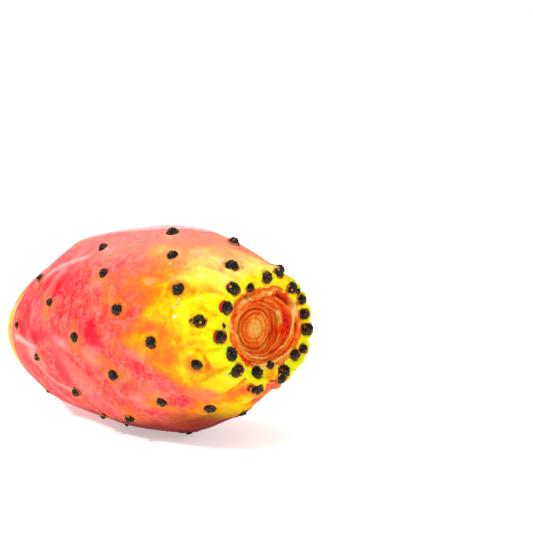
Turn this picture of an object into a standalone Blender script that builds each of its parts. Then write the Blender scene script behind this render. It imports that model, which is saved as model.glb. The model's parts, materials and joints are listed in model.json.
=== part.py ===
"""A whole prickly pear fruit lying on its side, its flower scar towards +X.

The fruit grew as one piece, so it is one solid: an egg-shaped body, a short stem foot with a
dished scar, a flower bowl with its button, and the raised areoles on a spiral round it all.
Lengths are written in millimetres and turned into metres as the shapes are made.
"""

import math

import bmesh
import bpy
import numpy as np
from mathutils import Matrix, Vector

MM = 0.001

# Driving sizes
STEM_TO_CROWN = 93.9
BELLY_RADIUS = 24.1
CROWN_RADIUS = 10.2
STEM_SCAR_RADIUS = 3.9

# The half outline from the stem scar's middle to the flower button's middle, as
# (distance along the axis, radius). The axis distance is 0 at the stem scar's edge.
STEM_FOOT = (
    (1.0, 0.0),
    (0.8, 2.6),
    (0.0, STEM_SCAR_RADIUS),
    (0.5, 5.6),
    (1.7, 6.9),
    (3.4, 8.1),
    (5.3, 9.1),
    (7.2, 10.5),
)
BELLY = (
    (9.2, 12.3),
    (13.0, 14.6),
    (18.0, 16.9),
    (26.0, 19.7),
    (36.0, 22.2),
    (46.0, 23.7),
    (56.0, BELLY_RADIUS),
    (66.0, 23.3),
    (74.0, 21.5),
    (81.0, 18.9),
    (86.5, 16.0),
    (90.0, 13.6),
)
FLOWER_BOWL = (
    (92.1, 12.4),
    (93.3, 11.2),
    (STEM_TO_CROWN, CROWN_RADIUS),
    (93.7, 9.4),
    (93.3, 8.0),
    (91.6, 6.8),
    (89.9, 5.5),
    (89.4, 4.5),
    (89.8, 3.4),
    (89.6, 0.0),
)
STEPS_BETWEEN_POINTS = 2
TURN_STEPS = 48

# The body's axis sags a little towards both ends, and the foot droops further.
SAG_SLOPE = 1.9
SAG_CURVE = -1.2
FOOT_DROOP = 1.2
FOOT_DROOP_ENDS = 10.0
# The flower scar is wider across than it is high. The widening grows from nothing to whole
# and back to nothing at these distances along the skin, measured inward from the scar's rim.
SCAR_WIDENING = 0.13
WIDENING_STEPS = (-6.0, -1.0, 2.0, 5.0)
WIDENING_SHARES = (0.0, 1.0, 1.0, 0.0)

# Areoles sit on one spiral. Each is a fixed turn on from the last, and the steps along
# the skin shrink towards the crown, where they crowd into a ring.
FIRST_AREOLE = -8
LAST_AREOLE = 65
AREOLE_ANGLE = math.radians(88.3)
AREOLE_TURN = math.radians(-99.7)
SPIRAL_END = 66.0
SPIRAL_REACH = 80.0
SPIRAL_POWER = 1.88
RIM_AREOLE = 46

# Each areole stands on a low swelling of the skin.
SWELLING_HEIGHT = 0.5
SWELLING_WIDTH = 5.0
LAST_SWELLING = 55
SWELLINGS_END_INSIDE_RIM = 2.0

AREOLE_RADIUS = 1.5
AREOLE_HEIGHT = 1.15
STEM_AREOLE_SHARE = 0.62
STEM_AREOLES_END = 16
RIM_AREOLE_HEIGHT = 1.5
AREOLE_SINK = 0.35
DOME_SIDES = 8
DOME_RINGS = 6

# How the fruit lies: the crown end a little up, the body turned a little on its axis,
# and the skin pressed flat where it meets the table. The depth is measured into the skin,
# so areoles under the fruit are squashed level with it.
CROWN_LIFT = math.radians(6.12)
BODY_ROLL = math.radians(5.16)
PRESSED_DEPTH = 0.5

# Small steps along and round the skin for finding its slope, and the sharpest smooth edge.
SLOPE_STEP = 0.4
SLOPE_TURN = 0.02
SMOOTH_UNDER = math.radians(50)
# Points this close, in metres, count as lying on the pressed face or as one point.
SAME_PLACE = 1e-7
MERGE_DISTANCE = 1e-5

SKIN_COLOUR = (0.78, 0.12, 0.10, 1.0)
SKIN_ROUGHNESS = 0.42


def smooth_curve(points, steps):
    """Points on a Catmull-Rom curve through the given ones."""
    given = np.array(points, float)
    given = np.vstack([2 * given[0] - given[1], given, 2 * given[-1] - given[-2]])
    share = np.linspace(0.0, 1.0, steps, endpoint=False)[:, None]
    runs = []
    for i in range(1, len(given) - 2):
        before, start, end, after = given[i - 1 : i + 3]
        runs.append(
            0.5
            * (
                2 * start
                + (end - before) * share
                + (2 * before - 5 * start + 4 * end - after) * share**2
                + (3 * start - before - 3 * end + after) * share**3
            )
        )
    runs.append(given[-2:-1])
    return np.vstack(runs)


def half_outline():
    """The outline as three lists: distance walked on the skin, distance on the axis, radius."""
    curve = smooth_curve(STEM_FOOT + BELLY + FLOWER_BOWL, STEPS_BETWEEN_POINTS)
    walked = np.concatenate([[0.0], np.cumsum(np.hypot(*np.diff(curve, axis=0).T))])
    return walked, curve[:, 0], np.maximum(curve[:, 1], 0.0)


WALKED, ALONG, RADIUS = half_outline()
RIM_WALKED = float(WALKED[np.argmax(ALONG)])


def spiral():
    """Each areole as (number, distance walked along the skin, angle round the axis)."""
    for number in range(FIRST_AREOLE, LAST_AREOLE + 1):
        gap = SPIRAL_REACH * (1.0 - number / SPIRAL_END) ** SPIRAL_POWER
        yield number, RIM_WALKED - gap, AREOLE_ANGLE + AREOLE_TURN * number


def turn_between(first, second):
    """The shorter way from one angle to another."""
    return (second - first + math.pi) % (2 * math.pi) - math.pi


def swelling(walked, angle):
    """How far the skin stands out at this place, for the areoles near it."""
    height = 0.0
    for number, centre, centre_angle in spiral():
        if number > LAST_SWELLING:
            break
        across = np.interp(centre, WALKED, RADIUS) * turn_between(centre_angle, angle)
        away = (walked - centre) ** 2 + across**2
        height += SWELLING_HEIGHT * math.exp(-away / (2 * SWELLING_WIDTH**2))
    return height


def sag(along):
    """How far the axis lies above the straight line, at this distance along it."""
    share = along / STEM_TO_CROWN - 0.5
    droop = FOOT_DROOP * max(0.0, 1.0 - along / FOOT_DROOP_ENDS) ** 2
    return SAG_SLOPE * share + SAG_CURVE * share**2 - droop


def widening(walked):
    """How much wider than high the flower scar is, from its rim down into the bowl."""
    share = np.interp(walked - RIM_WALKED, WIDENING_STEPS, WIDENING_SHARES)
    return 1.0 + SCAR_WIDENING * share


def skin_point(walked, angle):
    """A place on the upright fruit's skin in millimetres: x across, y up when it lies, z along."""
    along = float(np.interp(walked, WALKED, ALONG))
    radius = float(np.interp(walked, WALKED, RADIUS))
    if walked < RIM_WALKED + SWELLINGS_END_INSIDE_RIM:
        radius += swelling(walked, angle) * min(1.0, radius / AREOLE_RADIUS)
    across = radius * math.sin(angle) * widening(walked)
    return Vector((across, radius * math.cos(angle) + sag(along), along))


def skin_normal(walked, angle):
    """The outward direction of the skin at this place."""
    forward = skin_point(walked + SLOPE_STEP, angle) - skin_point(walked - SLOPE_STEP, angle)
    round_it = skin_point(walked, angle + SLOPE_TURN) - skin_point(walked, angle - SLOPE_TURN)
    return forward.cross(round_it).normalized()


def new_collection(name):
    collection = bpy.data.collections.new(name)
    bpy.context.scene.collection.children.link(collection)
    return collection


def skin_material():
    material = bpy.data.materials.new("prickly_pear_skin")
    material.use_nodes = True
    shader = material.node_tree.nodes["Principled BSDF"]
    shader.inputs["Base Color"].default_value = SKIN_COLOUR
    shader.inputs["Roughness"].default_value = SKIN_ROUGHNESS
    shader.inputs["Metallic"].default_value = 0.0
    return material


def turned_body():
    """The smooth fruit, turned from its half outline, standing on its stem."""
    mesh = bpy.data.meshes.new("outline")
    top_down = [(r * MM, 0.0, a * MM) for a, r in zip(ALONG[::-1], RADIUS[::-1])]
    edges = [(i, i + 1) for i in range(len(top_down) - 1)]
    mesh.from_pydata(top_down, edges, [])
    turned = bpy.data.objects.new("turned_body", mesh)
    bpy.context.scene.collection.objects.link(turned)
    screw = turned.modifiers.new("turn", "SCREW")
    screw.steps = TURN_STEPS
    screw.render_steps = TURN_STEPS
    screw.use_merge_vertices = True
    screw.merge_threshold = MERGE_DISTANCE
    graph = bpy.context.evaluated_depsgraph_get()
    solid = bpy.data.meshes.new_from_object(turned.evaluated_get(graph))
    bpy.data.objects.remove(turned)
    return solid


def shape_body(mesh):
    """Moves each point of the turned body to its place on the real skin."""
    for vertex in mesh.vertices:
        x, y, z = vertex.co / MM
        radius = math.hypot(x, y)
        apart = np.hypot(ALONG - z, RADIUS - radius)
        walked = float(WALKED[np.argmin(apart)])
        vertex.co = skin_point(walked, math.atan2(x, y)) * MM


def areole_size(number):
    """Radius and height of an areole: small at the stem end, tall at the crown."""
    share = (number - FIRST_AREOLE) / (STEM_AREOLES_END - FIRST_AREOLE)
    scale = STEM_AREOLE_SHARE + (1.0 - STEM_AREOLE_SHARE) * min(1.0, share)
    height = RIM_AREOLE_HEIGHT if number >= RIM_AREOLE else AREOLE_HEIGHT
    return AREOLE_RADIUS * scale, height * scale


def add_areole(number, walked, angle, collection):
    """One areole as a low dome, half sunk in the skin."""
    radius, height = areole_size(number)
    out = skin_normal(walked, angle)
    place = skin_point(walked, angle) - out * AREOLE_SINK
    shape = bmesh.new()
    bmesh.ops.create_uvsphere(shape, u_segments=DOME_SIDES, v_segments=DOME_RINGS, radius=1.0)
    scale = Matrix.Diagonal((radius, radius, height + AREOLE_SINK, 1.0))
    turn = out.to_track_quat("Z", "Y").to_matrix().to_4x4()
    whole = Matrix.Scale(MM, 4) @ Matrix.Translation(place) @ turn @ scale
    bmesh.ops.transform(shape, matrix=whole, verts=shape.verts)
    mesh = bpy.data.meshes.new(f"areole_{number}")
    shape.to_mesh(mesh)
    shape.free()
    dome = bpy.data.objects.new(f"areole_{number}", mesh)
    dome.hide_render = True
    dome.display_type = "WIRE"
    collection.objects.link(dome)


def lying_turn():
    """The turn from standing on the stem to lying on the table."""
    lay_down = Matrix(((0, 0, 1, 0), (-1, 0, 0, 0), (0, 1, 0, 0), (0, 0, 0, 1)))
    roll = Matrix.Rotation(-BODY_ROLL, 4, "X")
    lift = Matrix.Rotation(-CROWN_LIFT, 4, "Y")
    return lift @ roll @ lay_down


def press_flat(mesh, height):
    """Cuts the fruit level at this height, where its weight presses it on the table."""
    shape = bmesh.new()
    shape.from_mesh(mesh)
    everything = shape.verts[:] + shape.edges[:] + shape.faces[:]
    cut = bmesh.ops.bisect_plane(
        shape,
        geom=everything,
        dist=SAME_PLACE,
        plane_co=(0.0, 0.0, height),
        plane_no=(0.0, 0.0, -1.0),
        clear_outer=True,
    )
    rim = [edge for edge in cut["geom_cut"] if isinstance(edge, bmesh.types.BMEdge)]
    bmesh.ops.edgenet_fill(shape, edges=rim)
    bmesh.ops.recalc_face_normals(shape, faces=shape.faces[:])
    shape.to_mesh(mesh)
    shape.free()


def stand_on_origin(mesh):
    """Puts the middle of the fruit's base on the origin."""
    points = np.array([vertex.co[:] for vertex in mesh.vertices])
    low, high = points.min(axis=0), points.max(axis=0)
    middle = (low + high) / 2
    mesh.transform(Matrix.Translation((-middle[0], -middle[1], -low[2])))


def build():
    """The whole fruit as one closed solid."""
    fruit_collection = new_collection("prickly_pear")
    dome_collection = new_collection("joined_shapes")

    skin = turned_body()
    shape_body(skin)
    turn = lying_turn()
    skin_lowest = min((turn @ vertex.co).z for vertex in skin.vertices)
    fruit = bpy.data.objects.new("prickly_pear_fruit", skin)
    fruit_collection.objects.link(fruit)
    for number, walked, angle in spiral():
        add_areole(number, walked, angle, dome_collection)

    join = fruit.modifiers.new("areoles", "BOOLEAN")
    join.operation = "UNION"
    join.operand_type = "COLLECTION"
    join.collection = dome_collection
    join.solver = "EXACT"
    graph = bpy.context.evaluated_depsgraph_get()
    whole = bpy.data.meshes.new_from_object(fruit.evaluated_get(graph))
    fruit.modifiers.remove(join)
    fruit.data = whole
    for dome in list(dome_collection.objects):
        bpy.data.objects.remove(dome)

    whole.transform(turn)
    press_flat(whole, skin_lowest + PRESSED_DEPTH * MM)
    stand_on_origin(whole)
    whole.materials.clear()
    whole.materials.append(skin_material())
    whole.shade_smooth()
    whole.set_sharp_from_angle(angle=SMOOTH_UNDER)


for old in list(bpy.data.objects):
    bpy.data.objects.remove(old)
build()
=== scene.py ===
"""A ripe prickly pear fruit lying on a pale table.

The fruit shows its skin, its flower scar, its stem scar and the bristle tufts of its areoles.
Shapes are worked out in millimetres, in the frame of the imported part, and become metres when a
mesh is written. A place is given by two numbers: the distance walked along the skin from the
middle of the stem scar, and the angle round the axis, 0 on top and 90 degrees on the camera's
side.
"""

import json
import logging
import math
from dataclasses import dataclass, field
from enum import Enum

import bpy
import numpy as np
from mathutils import Matrix, Vector
from mathutils.bvhtree import BVHTree

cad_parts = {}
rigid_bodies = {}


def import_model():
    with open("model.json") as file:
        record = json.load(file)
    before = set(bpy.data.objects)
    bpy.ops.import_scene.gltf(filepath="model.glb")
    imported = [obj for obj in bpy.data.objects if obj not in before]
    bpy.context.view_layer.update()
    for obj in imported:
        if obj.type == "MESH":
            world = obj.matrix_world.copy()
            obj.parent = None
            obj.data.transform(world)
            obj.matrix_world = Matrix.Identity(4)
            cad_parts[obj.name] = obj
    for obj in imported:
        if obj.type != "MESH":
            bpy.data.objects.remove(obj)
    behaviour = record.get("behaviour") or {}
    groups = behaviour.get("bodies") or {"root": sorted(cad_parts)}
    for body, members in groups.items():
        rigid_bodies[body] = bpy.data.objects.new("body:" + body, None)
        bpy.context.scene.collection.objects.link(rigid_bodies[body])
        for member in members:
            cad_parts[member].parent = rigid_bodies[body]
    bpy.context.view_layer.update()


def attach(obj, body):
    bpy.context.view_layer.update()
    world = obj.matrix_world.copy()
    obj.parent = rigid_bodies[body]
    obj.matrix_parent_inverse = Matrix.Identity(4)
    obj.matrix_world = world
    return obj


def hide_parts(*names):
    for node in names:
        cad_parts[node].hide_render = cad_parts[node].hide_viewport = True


MM = 0.001
FRUIT_NODE = "prickly_pear_fruit"
BODY = "root"
LEAST_NARROWING = 0.4
UV_NAME = "OFBake"
LOG = logging.getLogger("prickly_pear")

Array = np.ndarray
Socket = bpy.types.NodeSocket
Pixel = tuple[float, float]
Stops = tuple[tuple[float, tuple[int, int, int]], ...]


def linear(colour: tuple[int, int, int]) -> tuple[float, float, float, float]:
    """A colour as the shaders want it.

    Args:
        colour: red, green and blue from 0 to 255, as a paint chart gives them.

    Returns:
        The same colour in linear light, with an alpha of 1.
    """
    parts = [part / 255 for part in colour]
    lit = [p / 12.92 if p <= 0.04045 else ((p + 0.055) / 1.055) ** 2.4 for p in parts]
    return (lit[0], lit[1], lit[2], 1.0)


def ease(value: Array, low: float, high: float) -> Array:
    """A smooth step.

    Args:
        value: the numbers to step.
        low: where the step starts; it may lie above high.
        high: where the step is whole.

    Returns:
        0 before low, 1 past high and a smooth rise between them.
    """
    share = np.clip((value - low) / (high - low), 0.0, 1.0)
    return share * share * (3.0 - 2.0 * share)


def grain(points: Array, size: float, seed: int) -> Array:
    """Smooth random values in space.

    Args:
        points: places in millimetres, one a row.
        size: how far apart the random values lie, in millimetres.
        seed: picks the pattern.

    Returns:
        A value from -1 to 1 at each place.
    """
    cells = points / size
    low = np.floor(cells).astype(np.int64)
    inside = cells - low
    inside = inside * inside * (3.0 - 2.0 * inside)
    total = np.zeros(len(points))
    for corner in range(8):
        step = np.array([corner & 1, corner >> 1 & 1, corner >> 2 & 1])
        spot = low + step
        key = spot[:, 0] * 73856093 ^ spot[:, 1] * 19349663 ^ spot[:, 2] * 83492791 ^ seed * 2654435761
        key = (key ^ (key >> 13)) * 1274126177 & 0x7FFFFFFF
        key = (key ^ (key >> 15)) * 668265263 & 0x7FFFFFFF
        weight = np.prod(np.where(step == 1, inside, 1.0 - inside), axis=1)
        total += weight * (key >> 7 & 0xFFFF) / 0xFFFF
    return total * 2.0 - 1.0


def rough(points: Array, size: float, seed: int, octaves: int = 3) -> Array:
    """Grain at several sizes at once, each half as large and half as strong as the last."""
    total = sum(grain(points, size / 2**k, seed + k) / 2**k for k in range(octaves))
    return total / (2.0 - 0.5 ** (octaves - 1))


@dataclass(frozen=True)
class Grain:
    """Named unevenness: how strong it is, how large its features are, its seed and its octaves."""

    strength: float
    size: float
    seed: int
    octaves: int = 3

    def at(self, points: Array) -> Array:
        """Its value at each point, within its strength."""
        return self.strength * rough(points, self.size, self.seed, self.octaves)

    def shift(self, points: Array) -> Array:
        """The points moved about by it, each way with its own seed."""
        ways = [rough(points, self.size, self.seed + k, self.octaves) for k in range(3)]
        return points + self.strength * np.stack(ways, axis=1)


def smooth_curve(points: Array, steps: int) -> Array:
    """Points on a Catmull-Rom curve.

    Args:
        points: the points it passes through, one a row.
        steps: how many curve points each stretch gets.

    Returns:
        The curve's points, one a row.
    """
    given = np.asarray(points, float)
    given = np.vstack([2 * given[0] - given[1], given, 2 * given[-1] - given[-2]])
    share = np.linspace(0.0, 1.0, steps, endpoint=False)[:, None]
    runs = []
    for i in range(1, len(given) - 2):
        before, start, end, after = given[i - 1 : i + 3]
        bend = 2 * before - 5 * start + 4 * end - after
        twist = 3 * start - before - 3 * end + after
        runs.append(0.5 * (2 * start + (end - before) * share + bend * share**2 + twist * share**3))
    runs.append(given[-2:-1])
    return np.vstack(runs)


@dataclass
class FruitForm:
    """The fruit's plain body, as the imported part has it."""

    stem_to_crown: float = 93.9
    belly_radius: float = 24.1
    crown_radius: float = 10.2
    stem_scar_radius: float = 3.9
    steps_between_points: int = 10
    sag_slope: float = 1.9
    sag_curve: float = -1.2
    foot_droop: float = 1.2
    foot_droop_ends: float = 10.0
    scar_widening: float = 0.13
    mound_height: float = 0.5
    mound_width: float = 5.0
    crown_lift: float = math.radians(6.12)
    body_roll: float = math.radians(5.16)
    axis_start: tuple[float, float, float] = (-47.862, 0.511, 18.494)
    mounds: list[tuple[float, float]] = field(default_factory=list)

    def __post_init__(self) -> None:
        """Works out the half outline and the turn that lays the fruit down."""
        foot = (
            (1.0, 0.0), (0.8, 2.6), (0.0, self.stem_scar_radius), (0.5, 5.6), (1.7, 6.9), (3.4, 8.1),
            (5.3, 9.1), (7.2, 10.5),
        )
        belly = (
            (9.2, 12.3), (13.0, 14.6), (18.0, 16.9), (26.0, 19.7), (36.0, 22.2), (46.0, 23.7),
            (56.0, self.belly_radius), (66.0, 23.3), (74.0, 21.5), (81.0, 18.9), (86.5, 16.0),
            (90.0, 13.6),
        )
        bowl = (
            (92.1, 12.4), (93.3, 11.2), (self.stem_to_crown, self.crown_radius), (93.7, 9.4),
            (93.3, 8.0), (91.6, 6.8), (89.9, 5.5), (89.4, 4.5), (89.8, 3.4), (89.6, 0.0),
        )
        curve = smooth_curve(np.array(foot + belly + bowl), self.steps_between_points)
        self.along = curve[:, 0]
        self.radius = np.maximum(curve[:, 1], 0.0)
        steps = np.hypot(*np.diff(curve, axis=0).T)
        self.walked = np.concatenate([[0.0], np.cumsum(steps)])
        self.rim = float(self.walked[np.argmax(self.along)])
        self.end = float(self.walked[-1])
        lay_down = Matrix(((0, 0, 1), (-1, 0, 0), (0, 1, 0)))
        roll = Matrix.Rotation(-self.body_roll, 3, "X")
        lift = Matrix.Rotation(-self.crown_lift, 3, "Y")
        self.turn = np.array(lift @ roll @ lay_down)

    def place(self, walked: Array, angle: Array) -> Array:
        """Places on the plain skin.

        Args:
            walked: distances from the stem scar's middle, in millimetres.
            angle: angles round the axis.

        Returns:
            One point a row, in millimetres, in the part's frame.
        """
        walked, angle = np.broadcast_arrays(np.asarray(walked, float), np.asarray(angle, float))
        along = np.interp(walked, self.walked, self.along)
        radius = np.interp(walked, self.walked, self.radius)
        plain = radius.copy()
        for centre, centre_angle in self.mounds:
            turn = (angle - centre_angle + math.pi) % (2 * math.pi) - math.pi
            across = np.interp(centre, self.walked, self.radius) * turn
            away = (walked - centre) ** 2 + across**2
            height = self.mound_height * np.exp(-away / (2 * self.mound_width**2))
            radius += height * np.minimum(1.0, plain / 1.5) * (walked < self.rim + 2.0)
        ring = self.ring_share(walked)
        share = along / self.stem_to_crown - 0.5
        droop = self.foot_droop * np.maximum(0.0, 1.0 - along / self.foot_droop_ends) ** 2
        sag = self.sag_slope * share + self.sag_curve * share**2 - droop
        across = radius * np.sin(angle) * (1.0 + self.scar_widening * ring)
        upright = np.stack([across, radius * np.cos(angle) + sag, along], axis=-1)
        return upright @ self.turn.T + np.array(self.axis_start)

    def spot(self, walked: float, angle: float) -> Array:
        """One place on the plain skin."""
        return self.place(np.array([walked]), np.array([angle]))[0]

    def outward(self, walked: float, angle: float) -> Array:
        """The skin's outward direction at one place."""
        return self.normal(np.array([walked]), np.array([angle]))[0]

    def ring_share(self, walked: Array) -> Array:
        """How much of the flower scar's widening a place takes, from 0 to 1."""
        return np.interp(walked - self.rim, (-6.0, -1.0, 2.0, 5.0), (0.0, 1.0, 1.0, 0.0))

    def normal(self, walked: Array, angle: Array) -> Array:
        """The skin's outward directions at these places, one a row."""
        step = 0.25
        turn = 0.01
        low = np.clip(walked, 0.3, self.end - 0.3)
        forward = self.place(low + step, angle) - self.place(low - step, angle)
        round_it = self.place(low, angle + turn) - self.place(low, angle - turn)
        out = np.cross(round_it, forward)
        return out / np.linalg.norm(out, axis=-1, keepdims=True)

    def where(self, point: Array) -> tuple[float, float]:
        """The distance walked and the angle of a point on the skin."""
        upright = (point - np.array(self.axis_start)) @ self.turn
        share = upright[2] / self.stem_to_crown - 0.5
        droop = self.foot_droop * max(0.0, 1.0 - upright[2] / self.foot_droop_ends) ** 2
        height = upright[1] - (self.sag_slope * share + self.sag_curve * share**2 - droop)
        walked = np.arange(0.0, self.end, 0.1)
        stretch = 1.0
        for _ in range(3):
            angle = math.atan2(upright[0] / stretch, height)
            apart = np.linalg.norm(self.place(walked, angle) - point, axis=1)
            nearest = float(walked[np.argmin(apart)])
            stretch = 1.0 + self.scar_widening * self.ring_share(nearest)
        return nearest, angle


@dataclass
class PhotoView:
    """The camera, set where the photograph was taken from."""

    form: FruitForm
    pixels: float = 533.0
    pixels_per_mm: float = 4.15
    distance: float = 450.0
    off_axis: float = math.radians(40.0)
    middle_station: float = 47.0
    fruit_right: float = -30.36
    fruit_up: float = -14.54
    sensor: float = 36.0
    safe_station: float = 60.0
    find_step: float = 0.4

    def __post_init__(self) -> None:
        """Works out the camera's place and its three directions."""
        sin, cos = math.sin(self.off_axis), math.cos(self.off_axis)
        lean = self.form.turn @ np.array([[0, -1, 0], [0, 0, 1], [1, 0, 0]], float)
        self.right = lean @ np.array([sin, cos, 0.0])
        self.up = lean @ np.array([0.0, 0.0, 1.0])
        self.toward = lean @ np.array([cos, -sin, 0.0])
        middle = lean @ np.array([self.middle_station, 0.0, 0.0]) + np.array(self.form.axis_start)
        aim = middle - self.fruit_right * self.right - self.fruit_up * self.up
        self.eye = aim + self.distance * self.toward
        self.focal = self.pixels_per_mm * self.distance
        self.feel()

    def feel(self) -> None:
        """Takes the fruit's present shape as the surface on which pixels are found."""
        body = np.arange(0.0, self.form.rim, 0.8)
        bowl = np.arange(self.form.rim, self.form.end, 0.4)
        walked = np.concatenate([body, bowl])
        angle = np.radians(np.arange(0.0, 360.0, 1.5))
        grid = self.form.place(walked[:, None], angle[None, :])
        rows, columns = grid.shape[:2]
        faces = []
        for low in range(0, (rows - 1) * columns, columns):
            high = low + columns
            for j in range(columns):
                k = (j + 1) % columns
                faces.append((low + j, low + k, high + k, high + j))
        self.tree = BVHTree.FromPolygons(grid.reshape(-1, 3).tolist(), faces)

    def see(self, points: Array) -> Array:
        """The pixels at which points show, one a row."""
        away = np.asarray(points, float) - self.eye
        depth = -(away @ self.toward)
        across = away @ self.right * self.focal / depth
        down = -(away @ self.up) * self.focal / depth
        return np.stack([across, down], axis=-1) + self.pixels / 2

    def find(self, pixel: Pixel) -> tuple[float, float]:
        """Where a pixel of the photograph falls on the skin.

        Args:
            pixel: across and down in the photograph's frame of 533 pixels. One that just misses
                the fruit is moved towards the fruit's middle until it meets the skin.

        Returns:
            The distance walked and the angle there.
        """
        middle = self.see(self.form.spot(self.safe_station, math.pi / 2)[None])[0]
        spot = np.array(pixel, float)
        while True:
            offset = (spot - self.pixels / 2) / self.focal
            ray = offset[0] * self.right - offset[1] * self.up - self.toward
            hit = self.tree.ray_cast(Vector(self.eye), Vector(ray).normalized())
            if hit[0] is not None:
                return self.form.where(np.array(hit[0]))
            spot += (middle - spot) / np.linalg.norm(middle - spot) * self.find_step

    def build(self) -> bpy.types.Object:
        """Adds the camera and makes it the scene's own."""
        lens = bpy.data.cameras.new("photo_view")
        lens.sensor_fit = "HORIZONTAL"
        lens.sensor_width = self.sensor
        lens.lens = self.focal / self.pixels * self.sensor
        lens.clip_start = 0.01
        camera = bpy.data.objects.new("photo_view", lens)
        bpy.context.scene.collection.objects.link(camera)
        turn = Matrix(np.stack([self.right, self.up, self.toward], axis=1).tolist()).to_4x4()
        camera.matrix_world = Matrix.Translation(Vector(self.eye * MM)) @ turn
        bpy.context.scene.camera = camera
        return camera


@dataclass
class Areole:
    """One areole: its number on the spiral and its place on the skin."""

    number: int
    walked: float
    angle: float
    point: Array
    normal: Array
    along: Array


@dataclass
class AreoleSpiral:
    """The areoles, numbered along one spiral from the stem to the flower scar.

    Each stands a fixed turn on from the last, and the steps along the skin shrink towards the
    flower scar. Those that the photograph shows stand where it shows them.
    """

    first: int = -8
    last: int = 65
    start: float = math.radians(88.3)
    turn: float = math.radians(-99.7)
    facing: float = math.radians(90.0)
    end: float = 66.0
    reach: float = 80.0
    power: float = 1.88
    last_mound: int = 55
    tuft_middle: float = 0.55
    peeping: dict[int, float] = field(
        default_factory=lambda: {
            -8: 12.0, -7: 24.0, -4: 24.0, -3: 20.0, 19: 22.0, 24: 12.0, 30: 36.0, 38: 24.0,
        }
    )  # fmt: skip
    seen: dict[int, Pixel] = field(
        default_factory=lambda: {
            0: (15.3, 325.2), 3: (46.5, 392.9), 4: (38.2, 276.6), 7: (35.1, 357.9),
            8: (77.5, 241.5), 10: (102.0, 418.7), 11: (48.0, 301.7), 14: (74.5, 393.6),
            15: (102.0, 246.0), 17: (126.3, 426.8), 18: (73.0, 337.4), 21: (129.2, 419.7),
            22: (102.4, 272.1), 25: (112.2, 376.2), 26: (172.4, 230.9), 28: (189.4, 432.3),
            29: (115.7, 308.9), 32: (161.8, 402.8), 33: (172.4, 254.4), 35: (242.2, 411.9),
            36: (150.6, 342.6), 37: (234.7, 239.9), 39: (210.2, 409.3), 40: (178.0, 288.9),
            41: (283.7, 267.0), 42: (282.7, 380.3), 43: (196.5, 365.0), 44: (232.0, 264.6),
            45: (304.1, 298.7), 46: (258.2, 390.1), 47: (199.0, 321.1), 48: (279.6, 271.7),
            49: (305.5, 349.7), 50: (237.8, 371.7), 51: (233.0, 287.9), 52: (300.0, 290.1),
            53: (284.7, 371.1), 54: (221.4, 337.4), 55: (268.4, 278.3), 56: (308.2, 329.3),
            57: (258.2, 372.1), 58: (227.6, 308.3), 59: (292.9, 288.5), 60: (295.9, 354.8),
            61: (232.0, 354.2), 62: (252.0, 288.9), 63: (305.1, 314.0), 64: (272.4, 367.0),
            65: (225.5, 326.2),
        }
    )  # fmt: skip

    def by_rule(self, form: FruitForm, number: int) -> tuple[float, float]:
        """The distance walked and the angle that the spiral gives a number.

        Those that would peep over the fruit's outline, where the photograph shows none, stand a
        little further round.
        """
        gap = self.reach * (1.0 - number / self.end) ** self.power
        angle = self.start + self.turn * number
        further = math.radians(self.peeping.get(number, 0.0))
        angle += math.copysign(further, math.sin(angle - self.facing))
        return form.rim - gap, angle

    def spot(self, form: FruitForm, view: PhotoView, number: int) -> tuple[float, float]:
        """Where an areole stands: under the middle of its tuft in the photograph, or by rule."""
        pixel = self.seen.get(number)
        if pixel is None:
            return self.by_rule(form, number)
        walked, angle = view.find(pixel)
        foot = form.spot(walked, angle)[None]
        lifted = foot + self.tuft_middle * form.outward(walked, angle)
        shift = (view.see(lifted) - view.see(foot))[0]
        return view.find((pixel[0] - shift[0], pixel[1] - shift[1]))

    def grow(self, form: FruitForm, view: PhotoView) -> list[Areole]:
        """Every areole in its place.

        Args:
            form: the fruit, which gets its mounds here.
            view: the camera that finds the areoles of the photograph.

        Returns:
            The areoles in the order of their numbers.
        """
        places = {}
        for _ in range(3):
            for number in range(self.first, self.last + 1):
                places[number] = self.spot(form, view, number)
            form.mounds = [place for number, place in places.items() if number <= self.last_mound]
            view.feel()
        grown = []
        for number, (walked, angle) in places.items():
            point = form.spot(walked, angle)
            normal = form.outward(walked, angle)
            along = form.spot(walked + 0.5, angle) - point
            along -= normal * (along @ normal)
            grown.append(Areole(number, walked, angle, point, normal, along / np.linalg.norm(along)))
        return grown


class FoldKind(Enum):
    """How the skin moves at a line drawn on it."""

    RIDGE = "stands up along the line"
    FURROW = "sinks along the line"
    STEP = "stands higher on the left of the line"


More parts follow.
